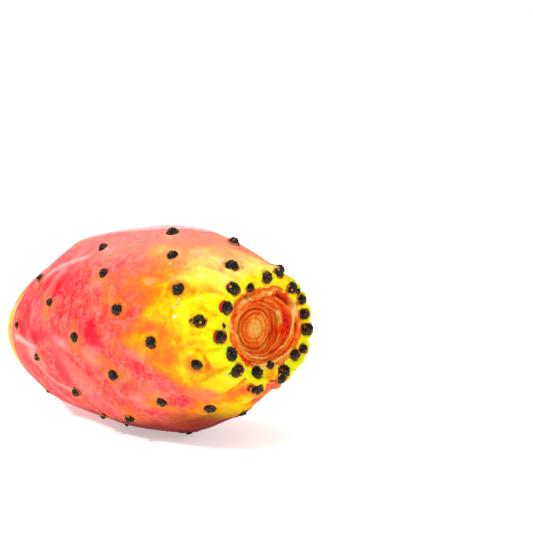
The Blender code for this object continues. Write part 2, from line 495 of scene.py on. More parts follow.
@dataclass(frozen=True)
class Fold:
    """A line on the skin, drawn through pixels of the photograph."""

    pixels: tuple[Pixel, ...]
    height: float
    width: float
    kind: FoldKind = FoldKind.RIDGE

    def route(self, form: FruitForm, view: PhotoView) -> Array:
        """The line's points on the skin."""
        places = np.array([view.find(pixel) for pixel in self.pixels])
        places[:, 1] = np.unwrap(places[:, 1])
        curve = smooth_curve(places, 6)
        return form.place(curve[:, 0], curve[:, 1])

    def nearness(
        self, points: Array, normals: Array, form: FruitForm, view: PhotoView
    ) -> tuple[Array, Array, Array]:
        """How points lie to the line.

        Args:
            points: places on the skin.
            normals: the skin's outward directions there.
            form: the fruit.
            view: the camera that the line was drawn through.

        Returns:
            Each point's distance from the line, its side, 1 on the left and -1 on the right, and
            how far along the line it lies, from 0 to 1.
        """
        route = self.route(form, view)
        apart = np.full(len(points), np.inf)
        side = np.ones(len(points))
        share = np.zeros(len(points))
        lengths = np.linalg.norm(np.diff(route, axis=0), axis=1)
        starts = np.concatenate([[0.0], np.cumsum(lengths)])
        near = np.linalg.norm(points - route.mean(axis=0), axis=1) < starts[-1] / 2 + self.width * 5 + 3
        chosen = np.flatnonzero(near)
        for i, length in enumerate(lengths):
            run = (route[i + 1] - route[i]) / length
            away = points[chosen] - route[i]
            walk = np.clip(away @ run, 0.0, length)
            gap = away - walk[:, None] * run
            distance = np.linalg.norm(gap, axis=1)
            better = distance < apart[chosen]
            spots = chosen[better]
            apart[spots] = distance[better]
            share[spots] = (starts[i] + walk[better]) / starts[-1]
            left = np.cross(normals[spots], run)
            side[spots] = np.where(np.sum(gap[better] * left, axis=1) > 0, 1.0, -1.0)
        return apart, side, share

    def relief(self, points: Array, normals: Array, form: FruitForm, view: PhotoView) -> Array:
        """How far the line lifts each point, in millimetres."""
        apart, side, share = self.nearness(points, normals, form, view)
        taper = np.clip(np.sin(np.pi * np.clip(share, 0.03, 0.97)) * 1.6, 0.0, 1.0)
        bell = np.exp(-((apart / self.width) ** 2))
        if self.kind is FoldKind.STEP:
            rise = np.where(side > 0, 1.0, -1.0) * (1.0 - np.exp(-apart / self.width))
            return self.height * taper * rise * np.exp(-((apart / (self.width * 9)) ** 2))
        return self.height * taper * bell * (1.0 if self.kind is FoldKind.RIDGE else -1.0)


@dataclass(frozen=True)
class Swell:
    """A broad rise or hollow, set at a pixel of the photograph."""

    at: Pixel
    reach: float
    height: float

    def relief(self, points: Array, form: FruitForm, view: PhotoView) -> Array:
        """How far it lifts each point, in millimetres."""
        away = np.linalg.norm(points - form.spot(*view.find(self.at)), axis=1)
        return self.height * np.exp(-((away / self.reach) ** 2))


@dataclass(frozen=True)
class Patch:
    """A soft-edged patch on the skin, set at a pixel of the photograph."""

    at: Pixel
    reach: Pixel
    value: float
    strength: float = 0.8
    turn: float = 0.0

    def weight(self, points: Array, form: FruitForm, view: PhotoView) -> Array:
        """How strongly the patch covers each point, from 0 to its strength."""
        place = view.find(self.at)
        normal = form.outward(*place)
        right = view.right - normal * (view.right @ normal)
        narrowing_across = max(LEAST_NARROWING, float(np.linalg.norm(right)))
        right /= np.linalg.norm(right)
        up = np.cross(normal, right)
        narrowing_up = max(LEAST_NARROWING, abs(float(up @ view.up)))
        reach_across = self.reach[0] / view.pixels_per_mm / narrowing_across
        reach_up = self.reach[1] / view.pixels_per_mm / narrowing_up
        cos, sin = math.cos(math.radians(self.turn)), math.sin(math.radians(self.turn))
        away = points - form.spot(*place)
        across, height = away @ right, away @ up
        first = (across * cos + height * sin) / reach_across
        second = (height * cos - across * sin) / reach_up
        depth = (away @ normal) / (1.5 * max(reach_across, reach_up))
        return self.strength * np.exp(-((first**2 + second**2 + depth**2) ** 1.3))


class Paint(Enum):
    """What a streak or patch adds to the skin."""

    # pale wax, and in places painted sheen
    BLOOM = "pale wax"
    RUST = "dark red-brown"
    CORK = "tan scuff"
    # painted shade: shadow laid into the skin as deep crimson
    SHADE = "deep crimson"


@dataclass(frozen=True)
class Streak(Fold):
    """A line of colour on the skin; one whose kind is STEP colours its right side only."""

    paint: Paint = Paint.BLOOM

    def weight(self, points: Array, normals: Array, form: FruitForm, view: PhotoView) -> Array:
        """How strongly the streak covers each point; its height is its strength."""
        apart, side, share = self.nearness(points, normals, form, view)
        taper = np.clip(np.sin(np.pi * np.clip(share, 0.02, 0.98)) * 2.5, 0.0, 1.0)
        weight = self.height * taper * np.exp(-((apart / self.width) ** 2))
        return weight * (side < 0) if self.kind is FoldKind.STEP else weight


class Bench:
    """A material being wired, with a short way to add each kind of node."""

    def __init__(self, name: str) -> None:
        """Starts a material with its plain shader."""
        self.material = bpy.data.materials.new(name)
        self.material.use_nodes = True
        self.tree = self.material.node_tree
        self.shader = self.tree.nodes["Principled BSDF"]
        self.place = self.add("ShaderNodeTexCoord").outputs["Object"]

    def add(self, kind: str, **settings: object) -> bpy.types.Node:
        """A new node with these settings."""
        node = self.tree.nodes.new(kind)
        for name, value in settings.items():
            setattr(node, name, value)
        return node

    def feed(self, socket: Socket, value: object) -> None:
        """Links a socket to another node's output, or sets its value."""
        if isinstance(value, Socket):
            self.tree.links.new(value, socket)
        else:
            socket.default_value = value

    def field(self, name: str) -> Socket:
        """A number that the mesh carries at each point."""
        return self.add("ShaderNodeAttribute", attribute_name=name).outputs["Fac"]

    def tint(self, name: str) -> Socket:
        """A colour that the mesh carries at each point."""
        return self.add("ShaderNodeAttribute", attribute_name=name).outputs["Color"]

    def noise(
        self, size: float, detail: float = 4.0, roughness: float = 0.55, warp: float = 0.0
    ) -> Socket:
        """Cloudy values from 0 to 1, with features about size millimetres across."""
        node = self.add("ShaderNodeTexNoise")
        self.feed(node.inputs["Vector"], self.place)
        node.inputs["Scale"].default_value = 1.0 / (size * MM)
        node.inputs["Detail"].default_value = detail
        node.inputs["Roughness"].default_value = roughness
        node.inputs["Distortion"].default_value = warp
        return node.outputs["Fac"]

    def cells(self, size: float) -> Socket:
        """The distance to the nearest of many scattered points, size millimetres apart."""
        node = self.add("ShaderNodeTexVoronoi")
        self.feed(node.inputs["Vector"], self.place)
        node.inputs["Scale"].default_value = 1.0 / (size * MM)
        return node.outputs["Distance"]

    def sum(self, first: object, second: object, operation: str = "ADD") -> Socket:
        """Two numbers added, or joined by another operation."""
        node = self.add("ShaderNodeMath", operation=operation)
        self.feed(node.inputs[0], first)
        self.feed(node.inputs[1], second)
        return node.outputs[0]

    def times(self, first: object, second: object) -> Socket:
        """Two numbers multiplied."""
        return self.sum(first, second, "MULTIPLY")

    def span(
        self, value: object, low: float, high: float, to_low: float = 0.0, to_high: float = 1.0
    ) -> Socket:
        """A number moved from one range to another and kept inside it."""
        node = self.add("ShaderNodeMapRange", interpolation_type="SMOOTHSTEP")
        self.feed(node.inputs["Value"], value)
        node.inputs["From Min"].default_value = low
        node.inputs["From Max"].default_value = high
        node.inputs["To Min"].default_value = to_low
        node.inputs["To Max"].default_value = to_high
        return node.outputs["Result"]

    def ramp(self, value: object, stops: Stops) -> Socket:
        """Colours picked along a ramp by a number."""
        node = self.add("ShaderNodeValToRGB")
        ramp = node.color_ramp
        ramp.interpolation = "LINEAR"
        while len(ramp.elements) > 1:
            ramp.elements.remove(ramp.elements[-1])
        ramp.elements[0].position = stops[0][0]
        ramp.elements[0].color = linear(stops[0][1])
        for position, colour in stops[1:]:
            ramp.elements.new(position).color = linear(colour)
        self.feed(node.inputs["Fac"], value)
        return node.outputs["Color"]

    def mix(self, share: object, first: object, second: object) -> Socket:
        """Two colours mixed; the share is how much of the second shows."""
        node = self.add("ShaderNodeMix", data_type="RGBA")
        self.feed(node.inputs[0], share)
        self.feed(node.inputs[6], first)
        self.feed(node.inputs[7], second)
        return node.outputs[2]

    def bump(self, height: object, strength: float, depth: float) -> Socket:
        """Fine relief from a height; depth is in millimetres."""
        node = self.add("ShaderNodeBump")
        node.inputs["Strength"].default_value = strength
        node.inputs["Distance"].default_value = depth * MM
        self.feed(node.inputs["Height"], height)
        return node.outputs["Normal"]

    def set(self, **values: object) -> None:
        """Feeds the shader's sockets; an underscore stands for a space in a socket's name."""
        for name, value in values.items():
            self.feed(self.shader.inputs[name.replace("_", " ")], value)


@dataclass(frozen=True)
class SkinFinish:
    """Waxy skin, from lime by the flower scar to crimson where the sun ripened it, with painted shade and
    painted sheen mixed in.
    """

    ripening: Stops = (
        (0.00, (182, 192, 3)), (0.08, (200, 192, 3)), (0.20, (208, 174, 3)), (0.32, (204, 126, 3)),
        (0.43, (200, 96, 20)), (0.54, (198, 74, 42)), (0.66, (198, 44, 44)), (0.78, (192, 12, 40)),
        (0.90, (168, 3, 26)), (1.00, (112, 3, 6)),
    )
    bloom: tuple[int, int, int] = (214, 172, 168)
    veil: tuple[int, int, int] = (214, 132, 122)
    fleck: tuple[int, int, int] = (172, 6, 26)
    # painted shade: the deep crimson laid on the underside and below the lower ridge
    shade: tuple[int, int, int] = (104, 3, 12)
    cork: tuple[int, int, int] = (186, 138, 84)
    rust: tuple[int, int, int] = (84, 10, 3)
    pore: tuple[int, int, int] = (132, 22, 8)
    roughness: float = 0.3

    def material(self) -> bpy.types.Material:
        """Wires the skin's material."""
        bench = Bench("prickly_pear_skin")
        clouds = bench.noise(5.0, 5.0, 0.6, 0.6)
        mottle = bench.noise(1.7, 5.0, 0.65, 0.4)
        speckle = bench.noise(0.5, 4.0, 0.7)
        red_part = bench.span(bench.field("ripeness"), 0.4, 0.58)
        ripe = bench.sum(bench.field("ripeness"), bench.span(clouds, 0.3, 0.7, -0.07, 0.07))
        ripe = bench.sum(ripe, bench.span(mottle, 0.32, 0.68, -0.05, 0.05))
        ripe = bench.sum(ripe, bench.span(speckle, 0.34, 0.66, -0.045, 0.045))
        colour = bench.ramp(ripe, self.ripening)
        veil = bench.span(bench.noise(2.2, 7.0, 0.7, 1.0), 0.42, 0.66, 0.0, 0.5)
        less_where_crimson = bench.span(bench.field("ripeness"), 0.64, 0.84, 1.0, 0.06)
        pinkish = bench.times(red_part, less_where_crimson)
        colour = bench.mix(bench.times(veil, pinkish), colour, linear(self.veil))
        flecks = bench.span(bench.noise(0.8, 5.0, 0.75, 0.6), 0.48, 0.66, 0.0, 0.65)
        colour = bench.mix(bench.times(flecks, red_part), colour, linear(self.fleck))
        dots = bench.span(bench.cells(0.7), 0.12, 0.34, 1.0, 0.0)
        dots = bench.times(dots, bench.span(mottle, 0.45, 0.62))
        dots = bench.times(dots, pinkish)
        colour = bench.mix(bench.times(dots, 0.42), colour, linear(self.bloom))
        pores = bench.span(bench.cells(3.1), 0.035, 0.075, 1.0, 0.0)
        colour = bench.mix(bench.times(pores, 0.55), colour, linear(self.pore))
        # pale wax, with painted sheen along the top and left outline and on upward-facing skin
        pale = bench.times(bench.field("bloom"), bench.span(mottle, 0.2, 0.8, 0.75, 1.2))
        colour = bench.mix(pale, colour, linear(self.bloom))
        # painted shade: the shade field darkens the skin to deep crimson
        colour = bench.mix(bench.field("shade"), colour, linear(self.shade))
        rusty = bench.times(bench.field("rust"), bench.span(mottle, 0.35, 0.65, 0.25, 1.3))
        colour = bench.mix(bench.span(rusty, 0.15, 0.75), colour, linear(self.rust))
        corky = bench.times(bench.field("cork"), bench.span(speckle, 0.35, 0.65, 0.3, 1.3))
        colour = bench.mix(bench.span(corky, 0.2, 0.8), colour, linear(self.cork))
        height = bench.sum(bench.span(mottle, 0.2, 0.8), bench.times(speckle, 0.55))
        height = bench.sum(height, bench.times(dots, 0.35))
        height = bench.sum(height, bench.times(pores, -1.2))
        gloss = bench.span(mottle, 0.3, 0.7, self.roughness - 0.06, self.roughness + 0.1)
        bench.set(
            Base_Color=colour,
            Roughness=bench.sum(gloss, corky),
            Normal=bench.bump(height, 0.35, 0.09),
            Specular_IOR_Level=0.0,
            Subsurface_Weight=0.08,
            Subsurface_Radius=(1.0, 0.35, 0.2),
            Subsurface_Scale=0.002,
            Coat_Weight=0.15,
            Coat_Roughness=0.05,
        )
        return bench.material


@dataclass(frozen=True)
class ScarFinish:
    """Dry, ringed tissue of the flower scar, tan in the middle and red in its folds, with painted shade in
    its hollows.
    """

    reddening: Stops = (
        (0.00, (204, 164, 96)), (0.20, (196, 130, 48)), (0.42, (196, 92, 14)), (0.62, (204, 60, 6)),
        (0.82, (182, 14, 3)), (1.00, (116, 4, 3)),
    )
    # dark tissue colour, also used as painted shade in the scar's deepest hollows
    dark_tissue_and_shade: tuple[int, int, int] = (104, 40, 12)

    def material(self) -> bpy.types.Material:
        """Wires the scar's material."""
        bench = Bench("flower_scar_tissue")
        clouds = bench.noise(1.6, 5.0, 0.65, 0.8)
        fibre = bench.noise(0.4, 4.0, 0.6)
        heat = bench.sum(bench.field("redness"), bench.span(clouds, 0.3, 0.7, -0.12, 0.12))
        heat = bench.sum(heat, bench.span(fibre, 0.3, 0.7, -0.07, 0.07))
        colour = bench.ramp(heat, self.reddening)
        # darker tissue along furrows, and painted shade where the tissue sinks deepest
        dark_tissue_and_shade = bench.times(bench.field("dark_tissue_and_shade"), bench.span(fibre, 0.3, 0.7, 0.6, 1.25))
        colour = bench.mix(dark_tissue_and_shade, colour, linear(self.dark_tissue_and_shade))
        height = bench.sum(fibre, bench.times(clouds, 0.6))
        bench.set(
            Base_Color=colour,
            Roughness=bench.span(clouds, 0.3, 0.7, 0.32, 0.55),
            Normal=bench.bump(height, 0.5, 0.12),
            Subsurface_Weight=0.1,
            Subsurface_Radius=(1.0, 0.35, 0.15),
            Subsurface_Scale=0.0015,
            Specular_IOR_Level=0.0,
            Coat_Weight=0.12,
            Coat_Roughness=0.07,
        )
        return bench.material


@dataclass(frozen=True)
class CorkFinish:
    """Dry cork where the fruit was cut from its pad."""

    cork: Stops = (
        (0.0, (116, 84, 40)), (0.35, (178, 142, 74)), (0.7, (214, 184, 112)), (1.0, (236, 214, 152)),
    )

    def material(self) -> bpy.types.Material:
        """Wires the stem scar's material."""
        bench = Bench("stem_scar_cork")
        clouds = bench.noise(1.1, 5.0, 0.65, 0.6)
        fibre = bench.noise(0.3, 4.0, 0.6)
        shade = bench.sum(bench.field("height"), bench.span(clouds, 0.3, 0.7, -0.2, 0.2))
        shade = bench.sum(shade, bench.span(fibre, 0.3, 0.7, -0.12, 0.12))
        bench.set(
            Base_Color=bench.ramp(shade, self.cork),
            Roughness=bench.span(clouds, 0.3, 0.7, 0.62, 0.85),
            Normal=bench.bump(fibre, 0.6, 0.15),
        )
        return bench.material


@dataclass(frozen=True)
class BristleFinish:
    """Short dark bristles in an amber felt collar; each bristle carries its own tint."""

    roughness: float = 0.16

    def material(self) -> bpy.types.Material:
        """Wires the tufts' material."""
        bench = Bench("areole_bristles")
        fleck = bench.noise(0.35, 3.0, 0.6)
        shade = bench.span(fleck, 0.3, 0.7, 0.55, 1.35)
        scaled = bench.add("ShaderNodeVectorMath", operation="SCALE")
        bench.feed(scaled.inputs[0], bench.tint("tint"))
        bench.feed(scaled.inputs["Scale"], shade)
        bench.set(
            Base_Color=scaled.outputs[0],
            Roughness=bench.span(fleck, 0.3, 0.7, self.roughness - 0.1, self.roughness + 0.15),
            Normal=bench.bump(fleck, 0.4, 0.06),
            Specular_IOR_Level=0.15,
        )
        return bench.material


@dataclass(frozen=True)
class TableFinish:
    """A plain pale table with a faint glow, so that it stays white under a dimmer sky."""

    colour: tuple[int, int, int] = (250, 250, 250)
    haze: tuple[int, int, int] = (231, 231, 231)
    glow: float = 0.42

    def material(self) -> bpy.types.Material:
        """Wires the table's material."""
        bench = Bench("pale_table")
        haze = bench.span(bench.noise(60.0, 2.0), 0.3, 0.7, 0.0, 0.02)
        bench.set(
            Base_Color=bench.mix(haze, linear(self.colour), linear(self.haze)),
            Roughness=0.9,
            Specular_IOR_Level=0.1,
            Emission_Color=(1.0, 1.0, 1.0, 1.0),
            Emission_Strength=self.glow,
        )
        return bench.material


def clear_selection() -> None:
    """Deselects everything."""
    for item in bpy.context.view_layer.objects:
        item.select_set(False)


def read_points(mesh: bpy.types.Mesh) -> Array:
    """A mesh's points, one a row, in its own units."""
    flat = np.empty(len(mesh.vertices) * 3)
    mesh.vertices.foreach_get("co", flat)
    return flat.reshape(-1, 3)


def write_points(mesh: bpy.types.Mesh, points: Array) -> None:
    """Moves a mesh's points to these places, in metres."""
    mesh.vertices.foreach_set("co", np.ascontiguousarray(points, dtype=np.float32).ravel())
    mesh.update()


def write_field(mesh: bpy.types.Mesh, name: str, values: Array) -> None:
    """Stores a number at each point of a mesh."""
    layer = mesh.attributes.new(name, "FLOAT", "POINT")
    layer.data.foreach_set("value", np.ascontiguousarray(values, dtype=np.float32))


def write_tint(mesh: bpy.types.Mesh, colours: Array) -> None:
    """Stores a colour at each point of a mesh."""
    layer = mesh.color_attributes.new(name="tint", type="FLOAT_COLOR", domain="POINT")
    layer.data.foreach_set("color", np.ravel(colours))


def add_sphere(name: str, segments: int, rings: int) -> tuple[bpy.types.Object, Array, Array]:
    """Adds a sphere, so that its rings can be laid along a piece's own outline.

    Args:
        name: the piece's name.
        segments: how many points each ring has.
        rings: how many bands lie between the two poles.

    Returns:
        The sphere, the ring that each point is on, 0 at the top pole, and its angle.
    """
    clear_selection()
    bpy.ops.mesh.primitive_uv_sphere_add(segments=segments, ring_count=rings, radius=1.0)
    sphere = bpy.context.object
    sphere.name = name
    points = read_points(sphere.data)
    ring = np.rint(np.arccos(np.clip(points[:, 2], -1, 1)) / math.pi * rings).astype(int)
    return sphere, ring, np.arctan2(points[:, 0], points[:, 1])


def lay(piece: bpy.types.Object, points: Array) -> None:
    """Moves a closed piece's points to these places, in millimetres, and turns its faces outward."""
    write_points(piece.data, points * MM)
    clear_selection()
    piece.select_set(True)
    bpy.context.view_layer.objects.active = piece
    bpy.ops.object.mode_set(mode="EDIT")
    bpy.ops.mesh.select_all(action="SELECT")
    bpy.ops.mesh.normals_make_consistent(inside=False)
    bpy.ops.object.mode_set(mode="OBJECT")


def placed_copy(pattern: bpy.types.Object, place: Matrix) -> bpy.types.Object:
    """A copy of a pattern with its own mesh, moved to its place inside that mesh."""
    copy = bpy.data.objects.new(pattern.name, pattern.data.copy())
    bpy.context.scene.collection.objects.link(copy)
    copy.data.transform(place)
    return copy


def joined(name: str, pieces: list[bpy.types.Object]) -> bpy.types.Object:
    """Several meshes joined into one piece."""
    clear_selection()
    for piece in pieces:
        piece.select_set(True)
    bpy.context.view_layer.objects.active = pieces[0]
    bpy.ops.object.join()
    whole = bpy.context.object
    whole.name = name
    return whole


def finish_piece(piece: bpy.types.Object, material: bpy.types.Material) -> None:
    """Dresses a piece, lets it ride on the fruit and reports it.

    Args:
        piece: the finished mesh object.
        material: what it is made of.
    """
    piece.data.materials.clear()
    piece.data.materials.append(material)
    for polygon in piece.data.polygons:
        polygon.use_smooth = True
    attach(piece, BODY)
    triangles = sum(len(polygon.vertices) - 2 for polygon in piece.data.polygons)
    LOG.info("%s: %d triangles", piece.name, triangles)


@dataclass
class Skin:
    """The fruit's skin, from the stem scar to the bottom of the flower bowl."""

    form: FruitForm
    view: PhotoView
    areoles: list[Areole]
    scar: "FlowerScar"
    segments: int = 340
    rings: int = 276
    ring_spacing: tuple[tuple[float, float], ...] = (
        (0.0, 0.3), (9.0, 0.32), (16.0, 0.5), (78.0, 0.5), (90.0, 0.32), (108.5, 0.3), (110.0, 0.9),
        (120.0, 0.9),
    )
    collar_radius: float = 1.75
    collar_height: float = 0.22
    collar_width: float = 0.5
    pit_radius: float = 1.25
    pit_depth: float = 0.3
    areole_reach: float = 4.0
    crown_gap: float = 26.0
    tail_height: float = 0.65
    tail_length: float = 13.0
    tail_width: float = 2.0
    furrow_depth: float = 0.75
    furrow_width: float = 0.8
    scar_seat: float = 1.3
    stem_ridge: float = 24.8
    stem_groove: float = 0.45
    swells: tuple[Swell, ...] = (
        Swell((11, 331), 8.0, 1.1),
        Swell((29, 288), 8.0, -0.75),
        Swell((88, 240), 8.0, 0.45),
        Swell((252, 250), 9.0, -0.9),
        Swell((193, 429), 9.0, 0.6),
        Swell((88, 411), 13.0, -0.8),
    )
    folds: tuple[Fold, ...] = (
        Fold(((170, 424), (186, 424), (203, 421), (218, 415.5), (234, 411), (247, 406.5)), 1.0, 1.9),
        Fold(((250, 407), (259, 398), (264, 390), (268, 382.5), (281, 378.5)), 0.35, 0.4, FoldKind.STEP),
        Fold(((251, 402), (254.5, 400), (259, 397)), 0.8, 0.45, FoldKind.FURROW),
        Fold(((267, 383), (273, 381), (281, 379)), 0.5, 0.35, FoldKind.FURROW),
        Fold(((236, 385), (228, 391), (222, 396)), 0.25, 1.2),
        Fold(((17, 328), (20, 334), (25, 339), (32, 343), (39, 344)), 0.3, 0.5, FoldKind.STEP),
        Fold(((35, 359), (43, 369), (56, 381), (74, 392)), 0.35, 1.3),
        Fold(((97, 251), (88, 257), (75, 262), (60, 268), (42, 280)), 0.45, 1.5),
        Fold(((118, 255.5), (111, 259.5), (105, 264)), 0.22, 0.8),
        Fold(((97, 273), (90, 277), (79, 285)), 0.22, 1.0),
        Fold(
            ((138, 316), (150, 314), (163, 311.5), (178, 307), (195, 304), (212, 303), (222, 300)),
            1.1, 1.5,
        ),
        Fold(((166, 320), (178, 320), (190, 319.5)), 0.6, 1.0),
        Fold(((184, 283), (197, 282.5), (212, 283.5), (225, 282)), 0.75, 1.3),
        Fold(((183, 354), (194, 352.5), (205, 354), (216, 356)), 0.7, 1.3),
        Fold(((205, 304), (213, 300), (220, 295.5)), 0.5, 0.9),
        Fold(((203, 269), (213, 272), (226, 274), (240, 275)), 0.6, 0.8),
        Fold(((176, 332), (190, 334), (204, 333), (216, 336)), 0.45, 1.2),
        Fold(((190, 293), (203, 292), (216, 290)), 0.4, 0.9, FoldKind.FURROW),
        Fold(((186, 343), (200, 343), (214, 345)), 0.4, 1.0, FoldKind.FURROW),
        Fold(((203, 324), (210, 322.5), (216, 325)), 0.35, 1.2, FoldKind.FURROW),
        Fold(((64, 299), (67, 290), (75, 283)), 0.12, 0.4, FoldKind.FURROW),
    )
    ripeness_by_gap: tuple[tuple[float, float], ...] = (
        (0.0, 0.10), (4.0, 0.12), (8.0, 0.17), (13.0, 0.25), (19.0, 0.38), (26.0, 0.53), (36.0, 0.62),
        (60.0, 0.68), (81.5, 0.70), (83.2, 0.20), (90.0, 0.14), (100.0, 0.22), (108.0, 0.30),
    )
    patches: tuple[Patch, ...] = (
        Patch((25, 333), (10, 6), 0.9, 1.0, -30),
        Patch((41, 336), (15, 7), 0.86, 1.0, 8),
        Patch((94, 342), (17, 10), 0.88, 0.95, -40),
        Patch((60, 285), (12, 7), 0.85, 0.8, 20),
        Patch((74, 276), (11, 4), 0.78, 0.7, 25),
        Patch((123, 264), (10, 3), 0.84, 0.8, 12),
        Patch((134, 314), (8, 5), 0.74, 0.8, 0),
        Patch((147, 338), (19, 15), 0.40, 0.85, 10),
        Patch((154, 300), (10, 5), 0.28, 0.6, 0),
        Patch((104, 304), (16, 9), 0.48, 0.7, 10),
        Patch((106, 366), (9, 11), 0.50, 0.7, 20),
        Patch((68, 322), (9, 10), 0.47, 0.75, 20),
        Patch((49, 307), (9, 10), 0.49, 0.85, 0),
        Patch((47, 293), (7, 6), 0.46, 0.6, 0),
        Patch((100, 277), (9, 5), 0.45, 0.7, 20),
        Patch((62, 371), (15, 9), 0.92, 0.9, -35),
        Patch((88, 378), (14, 6), 0.72, 0.6, -30),
        Patch((145, 374), (17, 8), 0.76, 0.8, -10),
        Patch((168, 385), (16, 7), 0.76, 0.8, 5),
        Patch((165, 355), (12, 8), 0.40, 0.6, 0),
        Patch((181, 401), (13, 7), 0.84, 0.85, 0),
        Patch((204, 396), (12, 7), 0.54, 0.6, 10),
        Patch((236, 394), (18, 8), 0.44, 0.7, 20),
        Patch((163, 270), (18, 12), 0.42, 0.7, 10),
        Patch((180, 246), (26, 8), 0.40, 0.7, 0),
        Patch((215, 252), (18, 7), 0.34, 0.6, -20),
        Patch((172, 304), (18, 10), 0.25, 0.7, 0),
        Patch((205, 272), (22, 10), 0.17, 0.8, 0),
        Patch((194, 338), (15, 10), 0.22, 0.7, 0),
        Patch((210, 310), (16, 16), 0.14, 0.8, 0),
        Patch((216, 346), (10, 12), 0.08, 0.8, 0),
        Patch((217, 296), (8, 5), 0.07, 0.7, 30),
        Patch((244, 281), (13, 5), 0.08, 0.8, 0),
        Patch((212, 371), (10, 6), 0.24, 0.7, 0),
        Patch((140, 408), (34, 8), 0.66, 0.7, -5),
        Patch((249, 386), (8, 7), 0.46, 0.9, 30),
        # painted shade: these four turn the band under the lower ridge deep crimson
        Patch((212, 424), (36, 9), 0.94, 1.0, 14),
        Patch((217, 420.5), (12, 4), 0.94, 1.0, 14),
        Patch((232, 415), (12, 4), 0.9, 1.0, 22),
        Patch((246, 409.5), (7, 3), 0.8, 1.0, 26),
        Patch((110, 412), (26, 5), 0.74, 0.7, -20),
        Patch((120, 251), (13, 6), 0.46, 0.75, 8),
        Patch((140, 401), (9, 5), 0.48, 0.7, 0),
        Patch((276, 385), (9, 8), 0.47, 1.0, 45),
        Patch((268, 390), (10, 8), 0.47, 1.0, 45),
        Patch((263, 395), (8, 6), 0.44, 1.0, 40),
        Patch((255, 402), (8, 5), 0.46, 1.0, 35),
        Patch((302, 322), (2.6, 16), 0.42, 0.8, 4),
        Patch((297, 349), (3, 7), 0.34, 0.7, 25),
    )
    # painted shade: these darken the skin along the bottom outline and under the lower ridge
    shades: tuple[Patch, ...] = (
        Patch((150, 431), (40, 3.5), 1.0, 0.85, 0),
        Patch((205, 428), (34, 4.5), 1.0, 0.95, 14),
        Patch((217, 420.5), (12, 3.5), 1.0, 0.97, 14),
        Patch((232, 415), (14, 3), 1.0, 0.9, 24),
        Patch((246, 409.5), (7, 2.5), 1.0, 0.75, 26),
    )
    pale: tuple[Patch, ...] = (
        Patch((70, 263), (24, 4), 0.6, 0.55, 22),
        # painted sheen: a pale strip along the left outline
        Patch((12, 318), (4, 22), 0.5, 0.6, -18),
        Patch((30, 350), (6, 11), 0.6, 0.75, 30),
        Patch((46, 372), (12, 4), 0.5, 0.45, -42),
        Patch((90, 358), (9, 9), 0.5, 0.4, 0),
        Patch((136, 358), (9, 6), 0.5, 0.3, 0),
        Patch((130, 246), (26, 6), 0.5, 0.35, 4),
        Patch((60, 395), (20, 3), 0.5, 0.45, -32),
        Patch((34, 310), (5, 12), 0.5, 0.3, 0),
        Patch((62, 362), (26, 14), 0.12, 1.0, -30),
        Patch((88, 392), (30, 10), 0.15, 1.0, -25),
        Patch((60, 344), (10, 6), 0.34, 1.0, 0),
        Patch((110, 250), (20, 8), 0.28, 1.0, 10),
        Patch((98, 285), (12, 7), 0.12, 1.0, 10),
        Patch((150, 390), (16, 8), 0.1, 1.0, 0),
        Patch((139, 400), (9, 5), 0.16, 1.0, 0),
        Patch((168, 386), (12, 6), 0.12, 1.0, 0),
        Patch((203, 396), (14, 6), 0.14, 1.0, 0),
    )
    rusts: tuple[Patch, ...] = (
        Patch((250, 387), (4, 5), 1.0, 0.9),
        Patch((247, 379), (3, 2.5), 1.0, 0.6),
        Patch((230, 372), (6, 2.5), 1.0, 0.5, 10),
        Patch((192.5, 322), (2.6, 3.4), 1.0, 0.9),
        Patch((17, 330), (2.5, 4), 1.0, 0.5, -20),
    )
    scuffs: tuple[Patch, ...] = (
        Patch((151, 281), (5.5, 5), 1.0, 0.9),
        Patch((130, 259), (4, 4), 1.0, 0.45),
        Patch((65, 293), (1.6, 6), 1.0, 0.5, -30),
    )
    streaks: tuple[Streak, ...] = (
        Streak(((251, 406), (259, 399), (264, 391), (268, 383.5), (281, 380)), 0.2, 0.14),
        # painted shade: deep crimson on the lower side of the lower ridge only
        Streak(
            ((176, 427), (190, 425), (204, 422), (218, 416.5), (233, 411.5), (246, 407.5), (254, 403)),
            1.0, 6.0, FoldKind.STEP, Paint.SHADE,
        ),
        # painted highlight: a pale streak on the upper right
        Streak(((234, 236), (246, 242), (256, 249)), 0.3, 0.7),
        Streak(((251, 401), (255, 399), (259, 396)), 1.0, 0.4, paint=Paint.RUST),
        Streak(((267, 382), (273, 380.5), (280, 378.5)), 0.75, 0.26, paint=Paint.RUST),
        Streak(((16, 330), (20, 334), (25, 339), (31, 343), (38, 344)), 0.55, 0.35, paint=Paint.RUST),
        Streak(((15, 334), (21, 340), (27, 344), (36, 348)), 0.6, 0.8),
        Streak(((97, 251), (88, 257), (75, 262), (60, 268), (42, 280)), 0.55, 1.0),
        Streak(((35, 359), (43, 371), (56, 383), (74, 393)), 0.5, 0.8),
        # painted sheen: a pale streak along the left outline
        Streak(((20, 300), (15, 310), (11.5, 322), (11, 334), (12.5, 344), (17, 356)), 0.6, 0.7),
        # painted sheen: a wide pale band along the top outline
        Streak(((84, 239), (120, 230.5), (145, 228), (172, 227), (200, 229), (228, 237)), 1.0, 3.0),
        Streak(((60, 289), (66, 284), (72, 279)), 0.5, 0.3, paint=Paint.CORK),
        Streak(((64, 300), (65, 294), (68, 289), (74, 284)), 0.6, 0.3, paint=Paint.RUST),
        Streak(((224, 374), (229, 372), (234, 373.5)), 0.6, 0.7, paint=Paint.CORK),
    )
    waves: Grain = Grain(0.2, 13.0, 5, 2)
    pebbling: Grain = Grain(0.07, 4.0, 9)
    wandering: Grain = Grain(1.6, 6.0, 21)
    ragged_bands: Grain = Grain(2.2, 9.0, 31)
    sunny_sides: Grain = Grain(0.05, 16.0, 41)
    blotches: Grain = Grain(0.1, 8.0, 43, 2)
